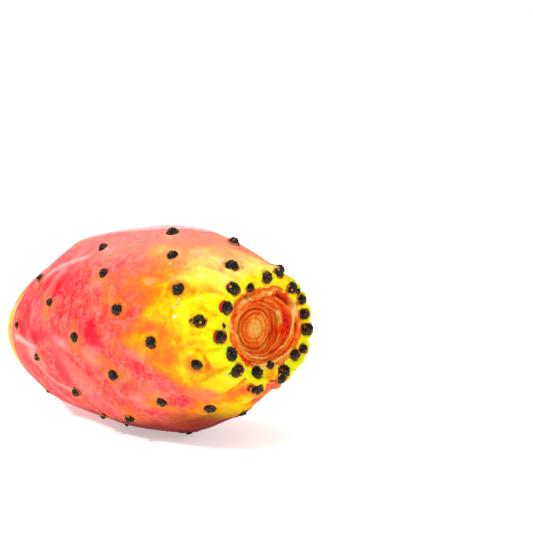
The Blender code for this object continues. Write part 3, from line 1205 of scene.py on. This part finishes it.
    freckles: Grain = Grain(0.06, 3.0, 45, 2)
    ragged_shade: Grain = Grain(0.03, 8.0, 47, 2)
    ragged_top_sheen: Grain = Grain(0.1, 7.0, 49, 2)
    wild_patches: int = 60
    wild_ripeness: tuple[float, ...] = (0.44, 0.5, 0.76, 0.84, 0.92)
    halo_ripeness: float = 0.43
    halo_reach: float = 3.8
    rim_ripeness: float = 0.47
    top_sheen: float = 0.24
    ridge_bloom: float = 0.7
    seed: int = 11

    def ring_places(self) -> Array:
        """How far along the skin each ring of points lies, closer together at both ends."""
        fine = np.linspace(0.0, self.form.end, 4000)
        spacing = np.interp(fine, *np.array(self.ring_spacing).T)
        count = np.concatenate([[0.0], np.cumsum(np.diff(fine) / spacing[1:])])
        return np.interp(np.linspace(0.0, count[-1], self.rings + 1), count, fine)

    def crown_folds(self, points: Array, walked: Array, angle: Array) -> Array:
        """Swells that trail from the areoles by the flower scar, and furrows between them."""
        form = self.form
        relief = np.zeros(len(points))
        nearest = np.full(len(points), np.inf)
        second = np.full(len(points), np.inf)
        radius = np.interp(walked, form.walked, form.radius)
        for areole in self.areoles:
            gap = form.rim - areole.walked
            if gap > self.crown_gap:
                continue
            turn = (angle - areole.angle + math.pi) % (2 * math.pi) - math.pi
            across = turn * radius
            behind = areole.walked - walked
            length = self.tail_length * (0.45 + 0.55 * min(1.0, gap / 12.0))
            run = np.where(behind > 0, behind / length, behind / 2.5)
            relief = np.maximum(
                relief, self.tail_height * np.exp(-((across / self.tail_width) ** 2) - run**2)
            )
            apart = np.hypot(across, np.where(behind > 0, behind * 0.35, behind))
            second = np.minimum(second, np.maximum(nearest, apart))
            nearest = np.minimum(nearest, apart)
        near_rim = ease(form.rim - walked, 15.0, 5.0) * ease(walked, form.rim + 0.5, form.rim - 1.5)
        relief -= self.furrow_depth * near_rim * np.exp(-(((second - nearest) / self.furrow_width) ** 2))
        return relief * ease(walked, form.rim + 1.0, form.rim - 1.0)

    def relief(self, points: Array, normals: Array, walked: Array, angle: Array) -> Array:
        """How far the skin stands off the plain body, in millimetres."""
        height = self.waves.at(points) + self.pebbling.at(points)
        height += self.crown_folds(points, walked, angle)
        height -= self.stem_groove * np.exp(-(((walked - self.stem_ridge) / 0.5) ** 2))
        for fold in self.folds:
            height += fold.relief(points, normals, self.form, self.view)
        for areole in self.areoles:
            scale = tuft_scale(areole.number)
            apart = np.linalg.norm(points - areole.point, axis=1) / scale
            close = apart < self.areole_reach
            ring = np.exp(-(((apart[close] - self.collar_radius) / self.collar_width) ** 2))
            pit = np.exp(-((apart[close] / self.pit_radius) ** 4))
            height[close] += scale * (self.collar_height * ring - self.pit_depth * pit)
        for swell in self.swells:
            height += swell.relief(points, self.form, self.view)
        end_fade = ease(walked, 2.0, 6.0) * ease(walked, self.form.rim + 3.0, self.form.rim + 0.5)
        inside_scar = self.scar.reach(angle) - (self.form.end - walked)
        return height * end_fade - self.scar_seat * ease(inside_scar, 0.3, 1.6)

    def paint(
        self, mesh: bpy.types.Mesh, points: Array, normals: Array, walked: Array, height: Array
    ) -> None:
        """Stores at each point how ripe, pale, rusty and corky the skin is, with its painted shade and
        painted sheen.

        Args:
            mesh: the skin's mesh, which gets the values.
            points: its points on the plain body.
            normals: the skin's outward directions there.
            walked: how far along the skin each point lies.
            height: how far the relief lifts each point.
        """
        form, view = self.form, self.view
        warped = self.wandering.shift(points)
        gap = form.rim - walked + self.ragged_bands.at(points)
        ripeness = np.interp(gap, *np.array(self.ripeness_by_gap).T)
        ripeness += self.sunny_sides.at(points)
        toward = (view.eye - points) / np.linalg.norm(view.eye - points, axis=1, keepdims=True)
        hidden = ease(np.sum(normals * toward, axis=1), 0.25, -0.15)
        dice = np.random.default_rng(self.seed)
        for _ in range(self.wild_patches):
            spot, turn = dice.uniform(14.0, 94.0), dice.uniform(0.0, 2 * math.pi)
            reach, value = dice.uniform(3.0, 9.0), dice.choice(self.wild_ripeness)
            centre = form.spot(spot, turn)
            weight = np.exp(-((np.linalg.norm(warped - centre, axis=1) / reach) ** 2.4))
            weight *= hidden * dice.uniform(0.4, 0.8) * ease(gap, 14.0, 24.0)
            ripeness += weight * (value - ripeness)
        for areole in self.areoles:
            apart = np.linalg.norm(warped - areole.point, axis=1)
            halo = 0.6 * np.exp(-((apart / self.halo_reach) ** 2))
            halo *= ease(gap, 12.0, 22.0) * ease(walked, 12.0, 15.0)
            ripeness += halo * (self.halo_ripeness - ripeness)
            size = tuft_scale(areole.number)
            close = 0.75 * np.exp(-(((apart / size - 1.5) / 0.75) ** 2)) * ease(gap, 3.0, 9.0)
            ripeness += close * (self.rim_ripeness - ripeness)
        for patch in self.patches:
            weight = patch.weight(warped, form, view)
            ripeness += weight * (patch.value - ripeness)
        # painted shade: deep crimson where the skin faces down over its crown half, and under the shade
        # patches
        shaded = ease(self.ragged_shade.at(points) - normals[:, 2], 0.74, 0.9)
        shaded *= ease(walked, 40.0, 60.0) * 0.85 * ease(gap, 8.0, 14.0)
        for patch in self.shades:
            shaded = np.maximum(shaded, patch.weight(warped, form, view))
        # painted shade and highlight: near the flower scar the skin turns more orange in its hollows and
        # paler on its crests
        ripeness -= ease(gap, 36.0, 24.0) * 0.16 * np.clip(height - 0.15, -0.5, 0.4)
        red_part = ease(ripeness, 0.42, 0.55)
        ripeness += red_part * (self.blotches.at(warped) + self.freckles.at(warped))
        # painted sheen: paler where the skin faces up, away from the stem end
        bloom = self.top_sheen * ease(normals[:, 2] + self.ragged_top_sheen.at(points), 0.5, 0.95)
        bloom *= ease(walked, 20.0, 34.0)
        for patch in self.pale:
            bloom = np.maximum(bloom, patch.weight(warped, form, view) * patch.value)
        beside_ridge = np.exp(-(((walked - self.stem_ridge - 0.9) / 0.7) ** 2))
        bloom = np.maximum(bloom, self.ridge_bloom * beside_ridge)
        rust, cork = np.zeros(len(points)), np.zeros(len(points))
        for patch in self.rusts:
            rust = np.maximum(rust, patch.weight(points, form, view))
        for patch in self.scuffs:
            cork = np.maximum(cork, patch.weight(warped, form, view))
        layers = {Paint.BLOOM: bloom, Paint.RUST: rust, Paint.CORK: cork, Paint.SHADE: shaded}
        for streak in self.streaks:
            weight = streak.weight(points, normals, form, view)
            layers[streak.paint][:] = np.maximum(layers[streak.paint], weight)
        write_field(mesh, "ripeness", np.clip(ripeness, 0.0, 1.0))
        for paint, weight in layers.items():
            write_field(mesh, paint.name.lower(), weight)

    def build(self) -> bpy.types.Object:
        """Makes the skin from a sphere whose rings are laid along the fruit's outline."""
        skin, ring, angle = add_sphere("skin", self.segments, self.rings)
        skin.data.uv_layers[0].name = UV_NAME
        walked = self.ring_places()[self.rings - ring]
        points = self.form.place(walked, angle)
        normals = self.form.normal(walked, angle)
        height = self.relief(points, normals, walked, angle)
        self.paint(skin.data, points, normals, walked, height)
        shaped = points + normals * height[:, None]
        shaped[:, 2] = np.maximum(shaped[:, 2], 0.0)
        lay(skin, shaped)
        finish_piece(skin, SkinFinish().material())
        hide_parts(FRUIT_NODE)
        return skin


@dataclass
class FlowerScar:
    """The ringed tissue that fills the flower bowl."""

    form: FruitForm
    view: PhotoView
    edge: float = 11.0
    lift: float = 0.25
    underside: float = -1.0
    segments: int = 400
    spacing: float = 0.1
    swirl: Grain = Grain(0.66, 3.2, 51)
    jitter: Grain = Grain(0.2, 1.0, 57, 2)
    plain_redness: float = 0.48
    rim_redness: float = 0.4
    wrinkle_width: float = 0.62
    wrinkle_bend: Grain = Grain(2.4, 2.2, 71, 2)
    wrinkle_patches: Grain = Grain(0.9, 2.6, 75, 2)
    crumbs: Grain = Grain(0.13, 0.9, 81)
    ragged_edge: Grain = Grain(0.16, 1.4, 91)
    clouds: Grain = Grain(0.14, 3.0, 95)
    wandering: Grain = Grain(0.5, 1.6, 97, 2)
    outline: tuple[Pixel, ...] = (
        (235.3, 298.2), (242.4, 293.4), (250.1, 292.5), (259.2, 286.6), (267.6, 285.5), (276.0, 285.5),
        (283.8, 289.0), (291.5, 295.4), (298.5, 305.2), (300.6, 317.1), (302.0, 328.3), (301.5, 337.0),
        (298.0, 346.0), (291.5, 356.5), (281.6, 364.1), (266.9, 366.9), (255.7, 366.8), (245.2, 366.2),
        (239.5, 359.2), (236.0, 349.4), (229.7, 342.4), (228.7, 333.2), (229.0, 324.1), (231.1, 314.3),
    )  # fmt: skip
    rings: tuple[tuple[float, float, float], ...] = (
        (1.9, 0.1, 0.15), (2.45, -0.2, 0.16), (3.0, 0.2, 0.18), (3.5, -0.14, 0.12), (4.1, 0.22, 0.2),
        (4.7, -0.24, 0.14), (5.3, 0.24, 0.2), (5.8, -0.22, 0.12), (6.4, -0.26, 0.16), (7.0, 0.22, 0.2),
        (8.3, 0.18, 0.3), (9.1, -0.2, 0.18), (9.9, 0.25, 0.25), (10.5, -0.22, 0.16),
    )
    folds: tuple[Fold, ...] = (
        Fold(
            ((232.5, 324), (234, 317), (239, 310), (245, 304.5), (253, 301), (261, 300), (271, 302),
             (275, 306.5)),
            0.35, 0.28, FoldKind.FURROW,
        ),
        Fold(
            ((259, 300), (267, 295.5), (275, 295.5), (282, 299), (288.5, 304), (293, 309)),
            0.4, 0.3, FoldKind.FURROW,
        ),
        Fold(
            ((284, 303), (289.5, 307), (292, 314), (292, 323), (289.5, 335), (285, 344), (278, 351),
             (274, 356)),
            0.4, 0.3,
        ),
        Fold(
            ((294, 311), (296.5, 318.5), (296.5, 327), (293.5, 337), (289.5, 345), (282, 353),
             (276, 358.5), (267, 362)),
            0.35, 0.25, FoldKind.FURROW,
        ),
        Fold(
            ((268, 310), (270, 316), (271, 323), (271.5, 330), (270, 337), (266.5, 343)),
            0.28, 0.25, FoldKind.FURROW,
        ),
        Fold(((274, 308), (279, 313), (281, 320), (279, 326)), 0.4, 0.5),
        Fold(((238.5, 348), (243, 353.5), (250, 358), (258.5, 360), (267, 359), (274, 356)), 0.35, 0.25),
        Fold(
            ((242, 361), (248.5, 364.5), (258.5, 366), (267.5, 364), (277, 360), (285, 354),
             (292, 346), (296, 338)),
            0.35, 0.25,
        ),
        Fold(((232, 314), (230.5, 322.5), (231, 331), (234.5, 338), (238, 344)), 0.3, 0.3),
        Fold(
            ((236, 309), (241, 303), (248, 298), (257, 294), (266, 291), (275, 291), (283, 294)),
            0.3, 0.25,
        ),
        Fold(
            ((238, 302), (246, 297), (255, 292), (264, 288.5), (273, 288.5)),
            0.3, 0.2, FoldKind.FURROW,
        ),
        Fold(((284, 297), (290, 302), (295, 309), (298, 318), (299, 328), (297, 338)), 0.3, 0.22),
        Fold(
            ((233.5, 341), (238, 350), (242, 357), (249, 361.5), (259, 363)),
            0.35, 0.2, FoldKind.FURROW,
        ),
        Fold(((266, 355), (274, 350.5), (281, 344), (286, 336)), 0.3, 0.22, FoldKind.FURROW),
        Fold(
            ((237, 318), (235.5, 325), (236.5, 333), (239.5, 341), (245, 348)),
            0.3, 0.2, FoldKind.FURROW,
        ),
    )  # fmt: skip
    calm: Patch = Patch((285, 322), (9, 17), 1.0, 0.75, 8)
    embers: tuple[Patch, ...] = (
        Patch((284.5, 322), (7, 14), 0.95, 0.95, 8),
        Patch((278, 299), (10, 4), 0.6, 0.7, -25),
        Patch((286, 341), (5, 8), 0.72, 0.6, 20),
        Patch((254, 328), (8.5, 11), 0.12, 0.95),
        Patch((277, 316), (4, 8), 0.30, 0.9, 15),
        Patch((245.5, 329), (2.5, 9), 0.6, 0.5),
        Patch((235, 320), (4, 9), 0.5, 0.5, -15),
        Patch((262, 357), (16, 5), 0.52, 0.7, 5),
        Patch((296, 330), (4, 16), 0.5, 0.7, 8),
        Patch((262, 290), (20, 4), 0.42, 0.7, 0),
    )

    def reach(self, angle: Array) -> Array:
        """How far out from the button's middle the tissue reaches at these angles."""
        places = np.array([self.view.find(pixel) for pixel in self.outline])
        return np.interp(angle, places[:, 1], self.form.end - places[:, 0], period=2 * math.pi)

    def relief(self, points: Array, normals: Array, out: Array) -> tuple[Array, Array, Array]:
        """How far the tissue stands off its bowl.

        Args:
            points: places on the plain bowl.
            normals: the bowl's outward directions there.
            out: distances from the button's middle along the bowl.

        Returns:
            Heights in millimetres, and how near each point is to the crest of a drawn ridge and
            to the bottom of a drawn furrow, from 0 to 1.
        """
        wandering = out + (self.swirl.at(points) + self.jitter.at(points)) * ease(out, 1.0, 3.0)
        height = np.zeros(len(points))
        for radius, rise, width in self.rings:
            uneven = 1.0 + 0.8 * rough(points, 4.0, int(radius * 10), 2)
            height += rise * uneven * np.exp(-(((wandering - radius) / width) ** 2))
        wrinkle = np.sin(2 * math.pi * wandering / self.wrinkle_width + self.wrinkle_bend.at(points))
        strong = np.clip(0.5 + self.wrinkle_patches.at(points), 0.0, 1.2)
        height += 0.15 * wrinkle * strong * ease(out, 2.2, 3.4)
        height += self.crumbs.at(points)
        height *= 1.0 - self.calm.weight(points, self.form, self.view)
        crest, trough = np.zeros(len(points)), np.zeros(len(points))
        for fold in self.folds:
            lift = fold.relief(points, normals, self.form, self.view)
            height += lift
            line = crest if fold.kind is FoldKind.RIDGE else trough
            line[:] = np.maximum(line, (np.abs(lift) / fold.height) ** 2)
        return height, crest, trough

    def profile(self) -> Array:
        """The half section: distances out, and a level from 1 on top to -1 on the underside."""
        top = [(x, 1.0) for x in np.arange(0.0, self.edge, self.spacing)]
        lip = [(self.edge + 0.12, 0.6), (self.edge + 0.2, 0.0), (self.edge + 0.1, -0.6)]
        under = [(x, -1.0) for x in np.arange(self.edge - 0.4, -0.01, -0.8)]
        under[-1] = (0.0, -1.0)
        return np.array(top + lip + under)

    def build(self) -> bpy.types.Object:
        """Makes the tissue from a sphere pressed to a disc and laid in the bowl."""
        section = self.profile()
        scar, ring, angle = add_sphere("flower_scar", self.segments, len(section) - 1)
        scar.data.uv_layers.remove(scar.data.uv_layers[0])
        out, level = section[ring].T
        round_edge = 6 * np.stack([np.cos(angle), np.sin(angle), out * 0], axis=1)
        stretch = (self.reach(angle) + self.ragged_edge.at(round_edge)) / self.edge
        spread = out * (1.0 + (stretch - 1.0) * (out / self.edge) ** 3)
        walked = self.form.end - spread
        points = self.form.place(walked, angle)
        normals = self.form.normal(walked, angle)
        height, crest, trough = self.relief(points, normals, out)
        fade = ease(out, self.edge + 0.05, self.edge - 0.7)
        stand = np.interp(level, (-1.0, 0.0, 0.6, 1.0), (self.underside, -0.5, -0.1, self.lift))
        stand = np.where(level == 1.0, self.lift * (0.2 + 0.8 * fade) + height * fade, stand)
        lay(scar, points + normals * stand[:, None])
        heat = self.plain_redness + self.clouds.at(points)
        warped = self.wandering.shift(points)
        for patch in self.embers:
            heat += patch.weight(warped, self.form, self.view) * (patch.value - heat)
        heat += 0.6 * ease(out, self.edge - 2.4, self.edge - 0.8) * (self.rim_redness - heat)
        # partly the tissue's own colour, partly painted shade and highlight: redder in troughs and
        # hollows, paler on crests
        heat += 0.25 * trough - 0.26 * crest - 0.7 * np.clip(height, -0.5, 0.4)
        # darker tissue along the furrows, and painted shade where the tissue sinks deepest
        dark_tissue_and_shade = 0.6 * trough * ease(rough(points, 2.0, 99, 2), -0.4, 0.5)
        dark_tissue_and_shade = np.maximum(dark_tissue_and_shade, ease(height, -0.35, -0.9))
        write_field(scar.data, "redness", np.clip(heat, 0.0, 1.0))
        write_field(scar.data, "dark_tissue_and_shade", dark_tissue_and_shade)
        finish_piece(scar, ScarFinish().material())
        return scar


@dataclass
class StemScar:
    """The small corky dish where the fruit was picked."""

    form: FruitForm
    edge: float = 4.2
    lift: float = 0.12
    underside: float = -0.6
    segments: int = 120
    spacing: float = 0.14
    crumbs: Grain = Grain(0.12, 1.3, 61)
    ring_turns: float = 5.0
    ring_bend: Grain = Grain(2.0, 2.0, 63, 2)
    ring_height: float = 0.08
    pit_depth: float = 0.25
    pit_radius: float = 0.9

    def profile(self) -> Array:
        """The half section: distances out, and a level from 1 on top to -1 on the underside."""
        top = [(x, 1.0) for x in np.arange(0.0, self.edge, self.spacing)]
        under = [(x, -1.0) for x in (self.edge - 0.3, 2.6, 1.3, 0.0)]
        return np.array(top + [(self.edge + 0.1, 0.0)] + under)

    def build(self) -> bpy.types.Object:
        """Makes the dish from a sphere pressed to a disc and laid on the stem end."""
        section = self.profile()
        scar, ring, angle = add_sphere("stem_scar", self.segments, len(section) - 1)
        scar.data.uv_layers.remove(scar.data.uv_layers[0])
        out, level = section[ring].T
        points = self.form.place(out, angle)
        normals = self.form.normal(out, angle)
        rings = np.cos(out * self.ring_turns + self.ring_bend.at(points))
        height = self.crumbs.at(points) + self.ring_height * rings
        height -= self.pit_depth * np.exp(-((out / self.pit_radius) ** 2))
        fade = ease(out, self.edge, self.edge - 0.6)
        stand = np.interp(level, (-1.0, 0.0, 1.0), (self.underside, -0.25, self.lift))
        stand = np.where(level == 1.0, self.lift * (0.2 + 0.8 * fade) + height * fade, stand)
        lay(scar, points + normals * stand[:, None])
        write_field(scar.data, "height", np.clip(0.55 + 2.2 * height, 0.0, 1.0))
        finish_piece(scar, CorkFinish().material())
        return scar


class TuftKind(Enum):
    """The kinds of tuft, by where on the fruit they grow."""

    STEM = "few short bristles in a wide collar"
    BELLY = "a round cushion of bristles"
    CROWN = "a ragged cushion with longer bristles"
    SCALED = "a crown tuft under the remnant of its leaf"


def tuft_scale(number: int) -> float:
    """How large the areole with this number is; those by the stem are small."""
    return float(np.interp(number, (-8, 0, 16, 30, 40, 65), (0.62, 0.72, 0.9, 1.06, 1.2, 1.16)))


@dataclass
class TuftMaker:
    """Models one tuft, standing on the origin with its collar round the Z axis."""

    kind: TuftKind
    seed: int
    pegs: int = 32
    dome_radius: float = 1.12
    dome_height: float = 1.12
    peg_radius: float = 0.31
    peg_length: float = 0.42
    foot_depth: float = 0.78
    golden_turn: float = math.radians(137.5)
    widest: float = math.radians(84.0)
    collar_radius: float = 1.31
    collar_thickness: float = 0.22
    collar_lift: float = 0.04
    darks: tuple[tuple[int, int, int], ...] = (
        (10, 8, 6), (14, 11, 8), (24, 18, 12), (34, 14, 6), (20, 15, 10), (58, 32, 14), (66, 60, 40),
    )
    ambers: tuple[tuple[int, int, int], ...] = (
        (176, 96, 34), (204, 122, 44), (150, 78, 26), (124, 48, 12),
    )
    crimson: tuple[int, int, int] = (150, 6, 10)

    def amber_share(self) -> float:
        """How many of its bristles are amber."""
        shares = {TuftKind.STEM: 0.3, TuftKind.BELLY: 0.03, TuftKind.CROWN: 0.1, TuftKind.SCALED: 0.06}
        return shares[self.kind]

    def tinted(self, piece: bpy.types.Object, colour: Array, shade: float) -> None:
        """Gives every point of a piece one tint."""
        values = [part * shade for part in linear(colour)[:3]] + [1.0]
        write_tint(piece.data, np.tile(values, (len(piece.data.vertices), 1)))

    def peg(self) -> bpy.types.Object:
        """One blunt bristle bundle along Z, its foot on the origin."""
        clear_selection()
        bpy.ops.mesh.primitive_cone_add(
            vertices=6, radius1=1.0, radius2=0.85, depth=0.8, location=(0, 0, 0.4), end_fill_type="NGON"
        )
        peg = bpy.context.object
        bpy.ops.object.mode_set(mode="EDIT")
        bpy.ops.mesh.select_mode(type="FACE")
        bpy.ops.mesh.select_all(action="DESELECT")
        bpy.ops.object.mode_set(mode="OBJECT")
        for polygon in peg.data.polygons:
            polygon.select = polygon.normal.z > 0.9
        bpy.ops.object.mode_set(mode="EDIT")
        bpy.ops.mesh.inset(thickness=0.4, depth=0.18)
        bpy.ops.object.mode_set(mode="OBJECT")
        bpy.ops.object.transform_apply(location=True, rotation=False, scale=False)
        return peg

    def cushion(self) -> bpy.types.Object:
        """The dark dome that the bristles stand on."""
        clear_selection()
        bpy.ops.mesh.primitive_uv_sphere_add(segments=16, ring_count=10, radius=1.0)
        dome = bpy.context.object
        bpy.ops.object.mode_set(mode="EDIT")
        bpy.ops.mesh.select_all(action="SELECT")
        bpy.ops.transform.resize(value=(self.dome_radius, self.dome_radius, self.dome_height))
        bpy.ops.object.mode_set(mode="OBJECT")
        self.tinted(dome, self.darks[0], 0.6)
        return dome

    def collar(self, dice: np.random.Generator) -> bpy.types.Object:
        """The amber felt ring round the dome."""
        clear_selection()
        bpy.ops.mesh.primitive_torus_add(
            major_radius=self.collar_radius, minor_radius=self.collar_thickness,
            major_segments=32, minor_segments=8,
        )
        collar = bpy.context.object
        points = read_points(collar.data)
        shift = rough(points + dice.uniform(0, 90), 0.7, self.seed, 2)
        points[:, :2] *= (1.0 + 0.06 * shift)[:, None]
        points[:, 2] = points[:, 2] * 0.8 + self.collar_lift + 0.1 * shift
        write_points(collar.data, points)
        share = 0.5 + 0.5 * rough(points + dice.uniform(0, 90), 0.9, self.seed + 3, 2)
        light, dark = np.array(linear(self.ambers[1])), np.array(linear(self.ambers[3]))
        write_tint(collar.data, light * share[:, None] + dark * (1 - share[:, None]))
        return collar

    def scale_remnant(self) -> bpy.types.Object:
        """A dark red crescent on the stem side, left by the fallen leaf."""
        clear_selection()
        bpy.ops.mesh.primitive_torus_add(
            major_radius=self.collar_radius + 0.1, minor_radius=0.24, major_segments=32, minor_segments=8
        )
        crescent = bpy.context.object
        points = read_points(crescent.data)
        turn = np.arctan2(points[:, 1], -points[:, 0])
        fade = ease(np.abs(turn), 1.45, 0.5)
        away = np.linalg.norm(points[:, :2], axis=1)[:, None]
        ring = points * [1, 1, 0] / away * (self.collar_radius + 0.1)
        points = ring + (points - ring) * (0.15 + 0.85 * fade)[:, None] * [1.0, 1.0, 2.0]
        points[:, 2] += 0.4 * fade
        points[:, 0] += 0.25 * fade
        write_points(crescent.data, points)
        self.tinted(crescent, self.crimson, 1.0)
        return crescent

    def build(self) -> bpy.types.Object:
        """Models the tuft and joins its pieces."""
        dice = np.random.default_rng(self.seed)
        pieces = [self.cushion(), self.collar(dice)]
        if self.kind is TuftKind.SCALED:
            pieces.append(self.scale_remnant())
        pattern = self.peg()
        ragged = 0.45 if self.kind in (TuftKind.CROWN, TuftKind.SCALED) else 0.2
        count = self.pegs if self.kind is not TuftKind.STEM else self.pegs // 2
        for k in range(count):
            polar = math.sqrt((k + 0.5) / count) * self.widest + dice.normal(0, 0.05)
            round_it = k * self.golden_turn + dice.normal(0, 0.1)
            flat = math.sin(polar)
            out = Vector((flat * math.cos(round_it), flat * math.sin(round_it), math.cos(polar)))
            foot = out * Vector((self.dome_radius, self.dome_radius, self.dome_height)) * self.foot_depth
            lean = (out + Vector(dice.normal(0, 0.22 * ragged, 3)) + Vector((0, 0, 0.25))).normalized()
            width = self.peg_radius * dice.uniform(0.75, 1.2)
            length = self.peg_length * dice.uniform(0.8, 1.1 + 0.6 * ragged)
            size = Matrix.Diagonal((width, width, length, 1.0))
            place = Matrix.Translation(foot) @ lean.to_track_quat("Z", "Y").to_matrix().to_4x4() @ size
            copy = placed_copy(pattern, place)
            amber = dice.random() < self.amber_share()
            colour = dice.choice(np.array(self.ambers if amber else self.darks))
            self.tinted(copy, colour, dice.uniform(0.6, 1.1))
            pieces.append(copy)
        bpy.data.objects.remove(pattern)
        return joined(f"tuft_{self.kind.name.lower()}_{self.seed}", pieces)


@dataclass
class Tufts:
    """All the bristle tufts, in one piece for the body and one for the crown."""

    areoles: list[Areole]
    crown_from: int = 44
    stem_to: int = 8
    scaled: tuple[int, ...] = (54, 58)
    sizes: dict[int, float] = field(
        default_factory=lambda: {
            3: 0.6, 8: 0.5, 10: 0.7, 17: 0.5, 26: 1.15, 35: 1.15, 37: 0.88, 41: 0.85, 42: 0.8, 45: 0.75,
            48: 0.88, 49: 0.75, 52: 0.5, 53: 1.05, 55: 0.9, 59: 0.85, 60: 0.88, 61: 1.16, 62: 0.7, 63: 0.9,
            64: 0.68, 65: 0.4,
        }
    )  # fmt: skip
    olive: tuple[int, int, int] = (76, 70, 44)
    sink: float = 0.15
    seed: int = 7

    def kind_of(self, number: int) -> TuftKind:
        """Which kind of tuft the areole with this number carries."""
        if number in self.scaled:
            return TuftKind.SCALED
        if number >= self.crown_from:
            return TuftKind.CROWN
        return TuftKind.STEM if number <= self.stem_to else TuftKind.BELLY

    def paint_table_bounce(self, mesh: bpy.types.Mesh, height: Array, dice: np.random.Generator) -> None:
        """Fades a tuft's dark lower side to olive, a painted reflection of the pale table; height is
        measured from its middle.
        """
        layer = mesh.attributes["tint"]
        tint = np.empty(len(mesh.vertices) * 4)
        layer.data.foreach_get("color", tint)
        tint = tint.reshape(-1, 4)
        share = dice.uniform(0.2, 0.6) * ease(height, 0.2, -1.0)[:, None] * (tint[:, :1] < 0.12)
        tint += share * (np.array(linear(self.olive)) - tint)
        layer.data.foreach_set("color", tint.ravel())

    def build(self) -> None:
        """Copies a tuft to every areole and joins them into two pieces."""
        patterns = {kind: [TuftMaker(kind, seed).build() for seed in (3, 8, 14)] for kind in TuftKind}
        dice = np.random.default_rng(self.seed)
        groups: dict[str, list[bpy.types.Object]] = {"body_tufts": [], "crown_tufts": []}
        for areole in self.areoles:
            pattern = patterns[self.kind_of(areole.number)][int(dice.integers(3))]
            scale = tuft_scale(areole.number) * self.sizes.get(areole.number, dice.uniform(0.96, 1.08))
            along, out = Vector(areole.along), Vector(areole.normal)
            turn = Matrix((along, out.cross(along), out)).transposed().to_4x4()
            if areole.number not in self.scaled:
                turn = turn @ Matrix.Rotation(dice.uniform(0, 2 * math.pi), 4, "Z")
            place = Vector(areole.point - self.sink * areole.normal)
            whole = Matrix.Scale(MM, 4) @ Matrix.Translation(place) @ turn @ Matrix.Scale(scale, 4)
            copy = placed_copy(pattern, whole)
            points = read_points(copy.data)
            # painted light: the lower side of each tuft is lightened to olive as if lit from the table
            self.paint_table_bounce(copy.data, (points[:, 2] - points[:, 2].mean()) / (scale * MM), dice)
            points[:, 2] = np.maximum(points[:, 2], 0.0)
            write_points(copy.data, points)
            groups["crown_tufts" if areole.number >= self.crown_from else "body_tufts"].append(copy)
        for kinds in patterns.values():
            for pattern in kinds:
                bpy.data.objects.remove(pattern)
        for name, copies in groups.items():
            finish_piece(joined(name, copies), BristleFinish().material())


@dataclass
class Studio:
    """The pale table and the soft lights."""

    view: PhotoView
    table_size: float = 80.0
    sky: float = 0.62

    def table(self) -> bpy.types.Object:
        """Adds the table top."""
        clear_selection()
        bpy.ops.mesh.primitive_plane_add(size=self.table_size, location=(0, 0, 0))
        table = bpy.context.object
        table.name = "table"
        table.data.materials.append(TableFinish().material())
        return table

    def soft_box(
        self, name: str, offset: tuple[float, float, float], size: float, power: float
    ) -> None:
        """Adds a soft square light.

        Args:
            name: what it is for.
            offset: metres right, up and towards the camera from the fruit's middle.
            size: its side in metres.
            power: watts.
        """
        light = bpy.data.lights.new(name, "AREA")
        light.shape = "SQUARE"
        light.size = size
        light.energy = power
        lamp = bpy.data.objects.new(name, light)
        bpy.context.scene.collection.objects.link(lamp)
        middle = Vector((0.0, 0.0, 0.025))
        right, up, toward = (Vector(v) for v in (self.view.right, self.view.up, self.view.toward))
        lamp.location = middle + offset[0] * right + offset[1] * up + offset[2] * toward
        lamp.rotation_euler = (lamp.location - middle).to_track_quat("Z", "Y").to_euler()

    def build(self) -> None:
        """Adds the table, the lights and a white surround."""
        self.table()
        self.soft_box("key", (-0.52, 0.50, 0.42), 0.08, 4.8)
        self.soft_box("front", (0.1, 0.6, 0.55), 0.045, 1.3)
        self.soft_box("fill", (0.6, 0.25, 0.5), 0.2, 2.4)
        self.soft_box("back", (-0.25, 0.7, -0.2), 0.3, 3.0)
        world = bpy.data.worlds.new("white_surround")
        world.use_nodes = True
        nodes, links = world.node_tree.nodes, world.node_tree.links
        surround = nodes["Background"]
        surround.inputs["Color"].default_value = (1.0, 1.0, 1.0, 1.0)
        seen_white = nodes.new("ShaderNodeMapRange")
        seen_white.inputs["To Min"].default_value = self.sky
        links.new(nodes.new("ShaderNodeLightPath").outputs["Is Camera Ray"], seen_white.inputs["Value"])
        links.new(seen_white.outputs["Result"], surround.inputs["Strength"])
        bpy.context.scene.world = world
        bpy.context.scene.view_settings.view_transform = "Standard"


def main() -> None:
    """Builds the fruit, its table and its light, in order."""
    logging.basicConfig(level=logging.INFO, format="%(message)s")
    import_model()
    form = FruitForm()
    view = PhotoView(form)
    areoles = AreoleSpiral().grow(form, view)
    scar = FlowerScar(form, view)
    Skin(form, view, areoles, scar).build()
    scar.build()
    StemScar(form).build()
    Tufts(areoles).build()
    Studio(view).build()
    view.build()


if __name__ == "__main__":
    main()
